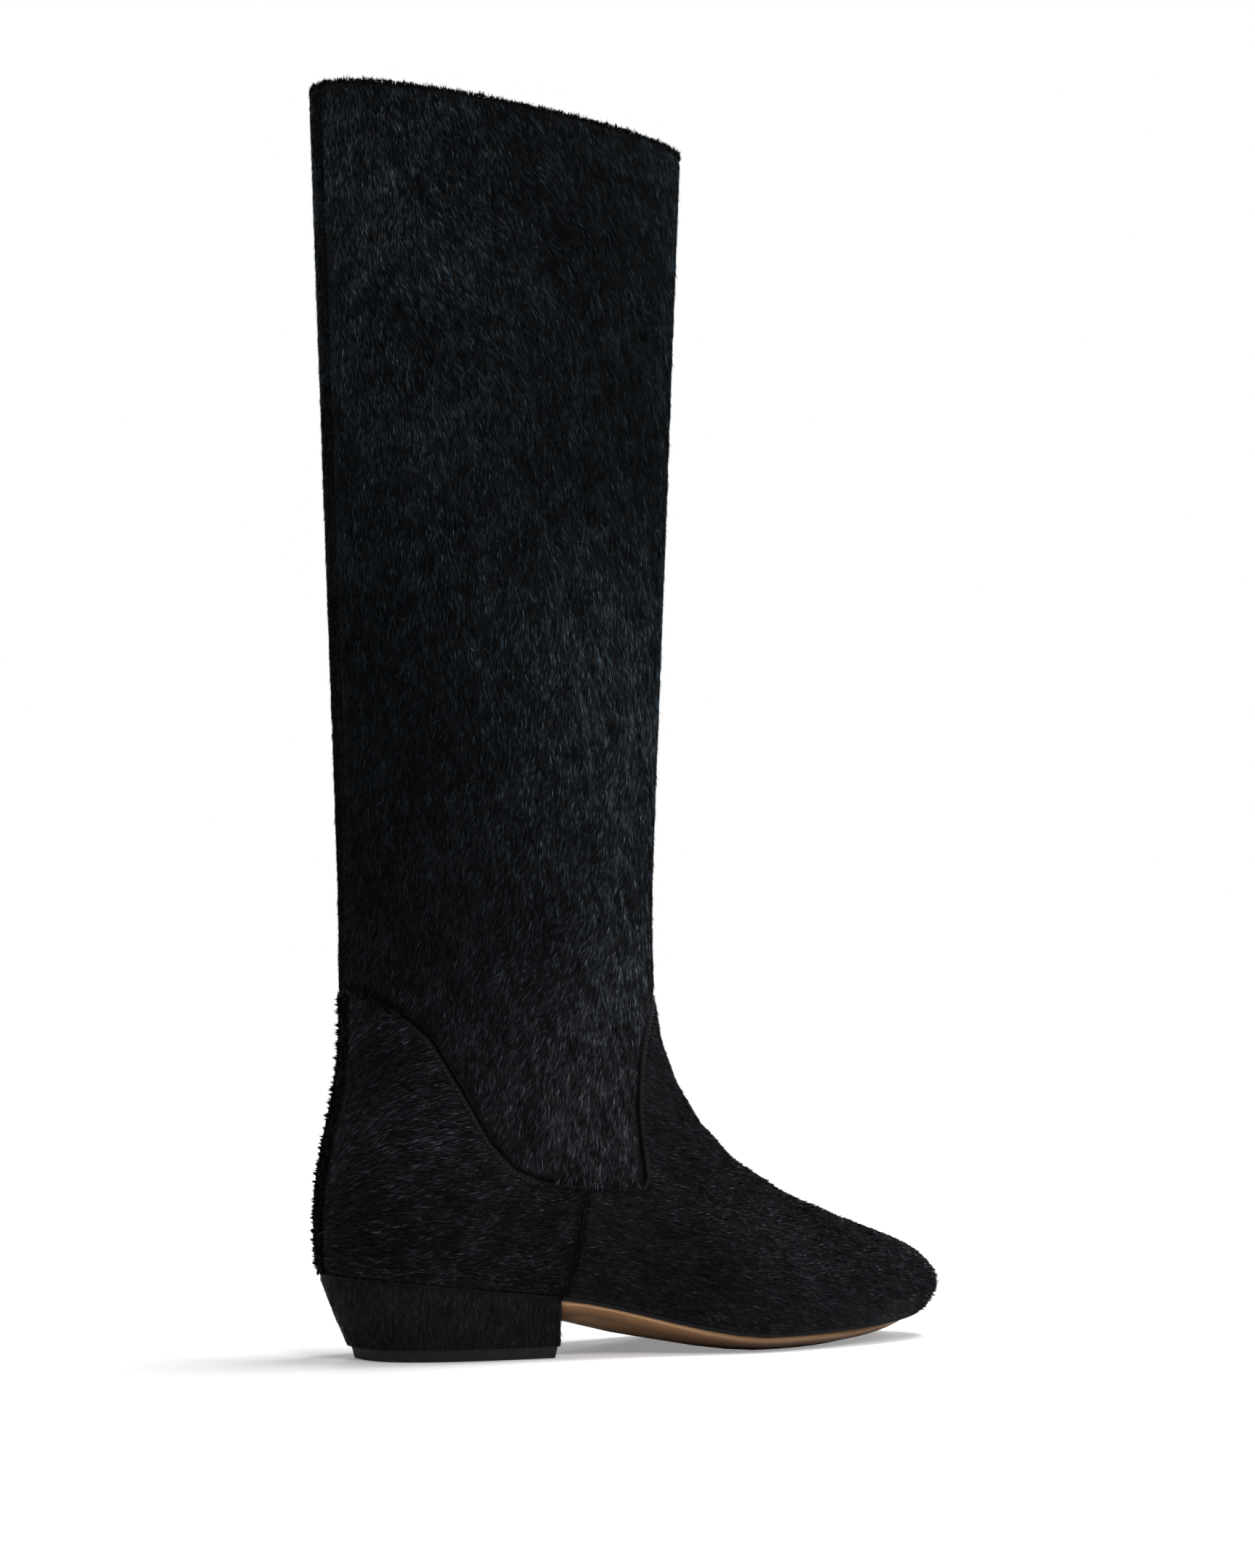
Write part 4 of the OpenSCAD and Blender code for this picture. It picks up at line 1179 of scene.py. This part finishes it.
def darken_side(coat):
    """Paints the shade of the butted seam of counter and vamp dark on the hair beside it."""
    gap = gap_to(coat.root, side_seams[coat.node][0])
    coat.tint *= np.clip(gap / (0.6 * MM), 0.1, 1)[:, None]


def end_at_sole(coat):
    """Shortens and flattens the hair at the feather line."""
    gap = gap_to(coat.root, feathers[coat.node][0])
    near = gap < 4.5 * MM
    coat.length[near] = np.minimum(coat.length[near], 1.0 * MM + gap[near])
    coat.rise *= np.clip(gap / (3 * MM), 0.3, 1)
    coat.tip_rise *= np.clip(gap / (3 * MM), 0.3, 1)
    if coat.node == "heel_cover":
        coat.length = np.minimum(coat.length, np.maximum(gap, 0.4 * MM))
        coat.tint *= (2.2, 1.95, 1.8)
    return gap > 0.3 * MM


def paint_sheen_and_shade(coat):
    """Paints broad sheen and shade onto the coat, lighter or darker by place, as the table of
    painted sheen and shade says.
    """
    x, z = coat.root[:, 0] / MM, coat.root[:, 2] / MM
    for place_x, place_z, reach, share in SHEEN_AND_SHADE.get(coat.node.split("_")[0], ()):
        near = np.exp(-((x - place_x) ** 2 + (z - place_z) ** 2) / reach**2)
        coat.tint *= np.exp(share * near)[:, None]


print("grooves in mm:", {n: width / MM for n, width in GROOVE.items()})

# %% [markdown]
# ## Growing all of it
# Each panel is grown in turn: roots, lie and colour, then the changes at its edges, then
# the fringes. A large coat is cut into pieces by height, because a mesh of more than
# 200,000 triangles is slow to handle.

# %% Grow the coat
MOST_BLADES = 95000  # of two triangles each
FIRST_SEED = 100


def grow(node, random):
    """Grows and draws all hair of one panel, and says how many hairs it has."""
    root, up = scatter(node, PER_MM2, random)
    coat = Coat(node, root, up, flow(node, root, up))
    dress(coat, random, neat=1.0 if node in SHAFTS else 0.7)
    coat.length = random.uniform(*HAIR_LENGTH.get(node, OTHER_LENGTH), len(root)) * MM
    paint_sheen_and_shade(coat)
    keep = np.ones(len(root), bool)
    if node in SHAFTS:
        keep &= press_under(coat)
    if node in edges:
        keep &= shave_edge(coat)
    if node in back_seams:
        keep &= part_at_back(coat)
    if node in side_seams:
        darken_side(coat)
    if node in feathers:
        keep &= end_at_sole(coat)
    if node == "vamp":
        fluff_toe(coat, random)
    if node == "counter_inner":
        bristle_back(coat, random)
    coat.keep(keep)
    for kind, line in fringed(node):
        fringe(coat, kind, line, random)
    draw_in_pieces(coat)
    return len(coat.root)


def draw_in_pieces(coat):
    """Draws a coat as meshes of a workable size, from the ground up."""
    parts = math.ceil(len(coat.root) / MOST_BLADES)
    order = np.array_split(np.argsort(coat.root[:, 2], kind="stable"), parts)
    for k, rows in enumerate(order):
        part = Coat(coat.node, coat.root[rows], coat.up[rows], coat.flow[rows])
        for name in coat.rows():
            setattr(part, name, getattr(coat, name)[rows])
        part.draw(f"{coat.node}_hair_{k + 1}" if parts > 1 else f"{coat.node}_hair")
    print(coat.node, "hairs:", len(coat.root), " pieces:", parts)


seeds = range(FIRST_SEED, FIRST_SEED + len(COVERED))
total = sum(grow(name, np.random.default_rng(seed)) for name, seed in zip(COVERED, seeds))
print("all hairs:", total, " triangles:", 2 * total)

# %% [markdown]
# ## The trimmed edge
# Where the hair is shaved away, the cut leather shows as a narrow strip with a soft
# rounded top and a side that goes down to the shaft. One cross-section is carried along
# the edge and its rings are joined, which gives a strip that follows every bend.

# %% Trimmed strips
STRIP = [  # across the strip: outwards from the edge, and up from the leather
    (-1.2, -0.1), (-1.1, 0.08), (-0.7, 0.14), (-0.2, 0.12), (0.1, -0.05), (0.14, -0.6),
    (0.12, -1.5), (-0.25, -1.5), (-0.3, -0.2),
]


def strip(name, place, up, along, out):
    """A closed band that follows an edge."""
    rings = np.stack([place + out * a * MM + up * b * MM for a, b in STRIP], 1)
    n, m = rings.shape[:2]
    quads = [
        (k * m + j, k * m + (j + 1) % m, (k + 1) * m + (j + 1) % m, (k + 1) * m + j)
        for k in range(n - 1) for j in range(m)
    ]
    caps = [tuple(range(m))[::-1], tuple((n - 1) * m + j for j in range(m))]
    mesh = bpy.data.meshes.new(name)
    mesh.from_pydata(rings.reshape(-1, 3).tolist(), [], quads + caps)
    band = bpy.data.objects.new(name, mesh)
    scene.collection.objects.link(band)
    band.data.materials.append(finish["cut_edge"])
    bpy.ops.object.select_all(action="DESELECT")
    band.select_set(True)
    bpy.context.view_layer.objects.active = band
    bpy.ops.object.mode_set(mode="EDIT")
    bpy.ops.mesh.select_all(action="SELECT")
    bpy.ops.mesh.normals_make_consistent(inside=False)
    bpy.ops.object.mode_set(mode="OBJECT")
    bpy.ops.object.shade_smooth_by_angle(angle=math.radians(50))
    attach(band, "root")


# %% Lay the strips
VAMP_BARE_FROM = 64 * MM  # height above which the vamp's edge is bare
COUNTER_BARE = (-22 * MM, 26 * MM)  # and the counters' edge, along the foot


def bare_part(name, line):
    """The stretch of a lapped edge that isn't hidden by hair."""
    place = line[0]
    if name == "vamp":
        keep = place[:, 2] > VAMP_BARE_FROM
    else:
        keep = (place[:, 0] > COUNTER_BARE[0]) & (place[:, 0] < COUNTER_BARE[1])
    first, last = np.flatnonzero(keep)[[0, -1]]
    return [v[first:last + 1] for v in line]


bare = {name: bare_part(name, line) for name, line in edges.items()}
for name, line in bare.items():
    strip(name + "_trimmed_edge", *line)
    print(name, "bare edge in mm:", round(len(line[0]) * EDGE_STEP / MM))

# %% [markdown]
# ## Stitches
# A row of fine black stitches holds the lapped edge down, about a millimetre in from it.
# A stitch is a short loop of thread that bows up a little between its two holes: a small
# sphere, drawn out along the edge and bent. All stitches of a row are one mesh.

# %% Stitches
STITCH_PITCH = 2.0 * MM
STITCH_LEN = 1.05 * MM
THREAD_R = 0.16 * MM
ROW_INSET = 1.1 * MM
BOW, SEAT = 0.1, 0.3  # mm that a stitch bows up, and that it sits above the leather


def stitch_row(name, place, up, along, out, inset):
    """A row of short thread loops, set in from an edge."""
    bpy.ops.object.select_all(action="DESELECT")
    bpy.ops.mesh.primitive_uv_sphere_add(segments=8, ring_count=6, radius=1, location=(0, 0, 0))
    seed = bpy.context.object
    ball = np.array([v.co for v in seed.data.vertices])
    shape_faces = [tuple(p.vertices) for p in seed.data.polygons]
    bpy.data.objects.remove(seed)
    every = max(1, round(STITCH_PITCH / EDGE_STEP))
    spots = range(every, len(place) - every, every)
    points, polygons = [], []
    for s, i in enumerate(spots):
        long = ball[:, 0:1] * (STITCH_LEN / 2) * along[i]
        wide = ball[:, 1:2] * THREAD_R * out[i]
        bow = (1 - ball[:, 0:1] ** 2) * BOW * MM
        tall = (ball[:, 2:3] * THREAD_R + bow) * up[i]
        points.append(place[i] + out[i] * -inset + up[i] * SEAT * MM + long + wide + tall)
        polygons += [tuple(v + s * len(ball) for v in f) for f in shape_faces]
    mesh = bpy.data.meshes.new(name)
    mesh.from_pydata(np.concatenate(points).tolist(), [], polygons)
    row = bpy.data.objects.new(name, mesh)
    scene.collection.objects.link(row)
    row.data.materials.append(finish["thread"])
    for face in mesh.polygons:
        face.use_smooth = True
    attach(row, "root")
    print(name, "stitches:", len(spots))


for name, line in bare.items():
    stitch_row(name + "_stitches", *line, inset=ROW_INSET)

# %% [markdown]
# ## The end
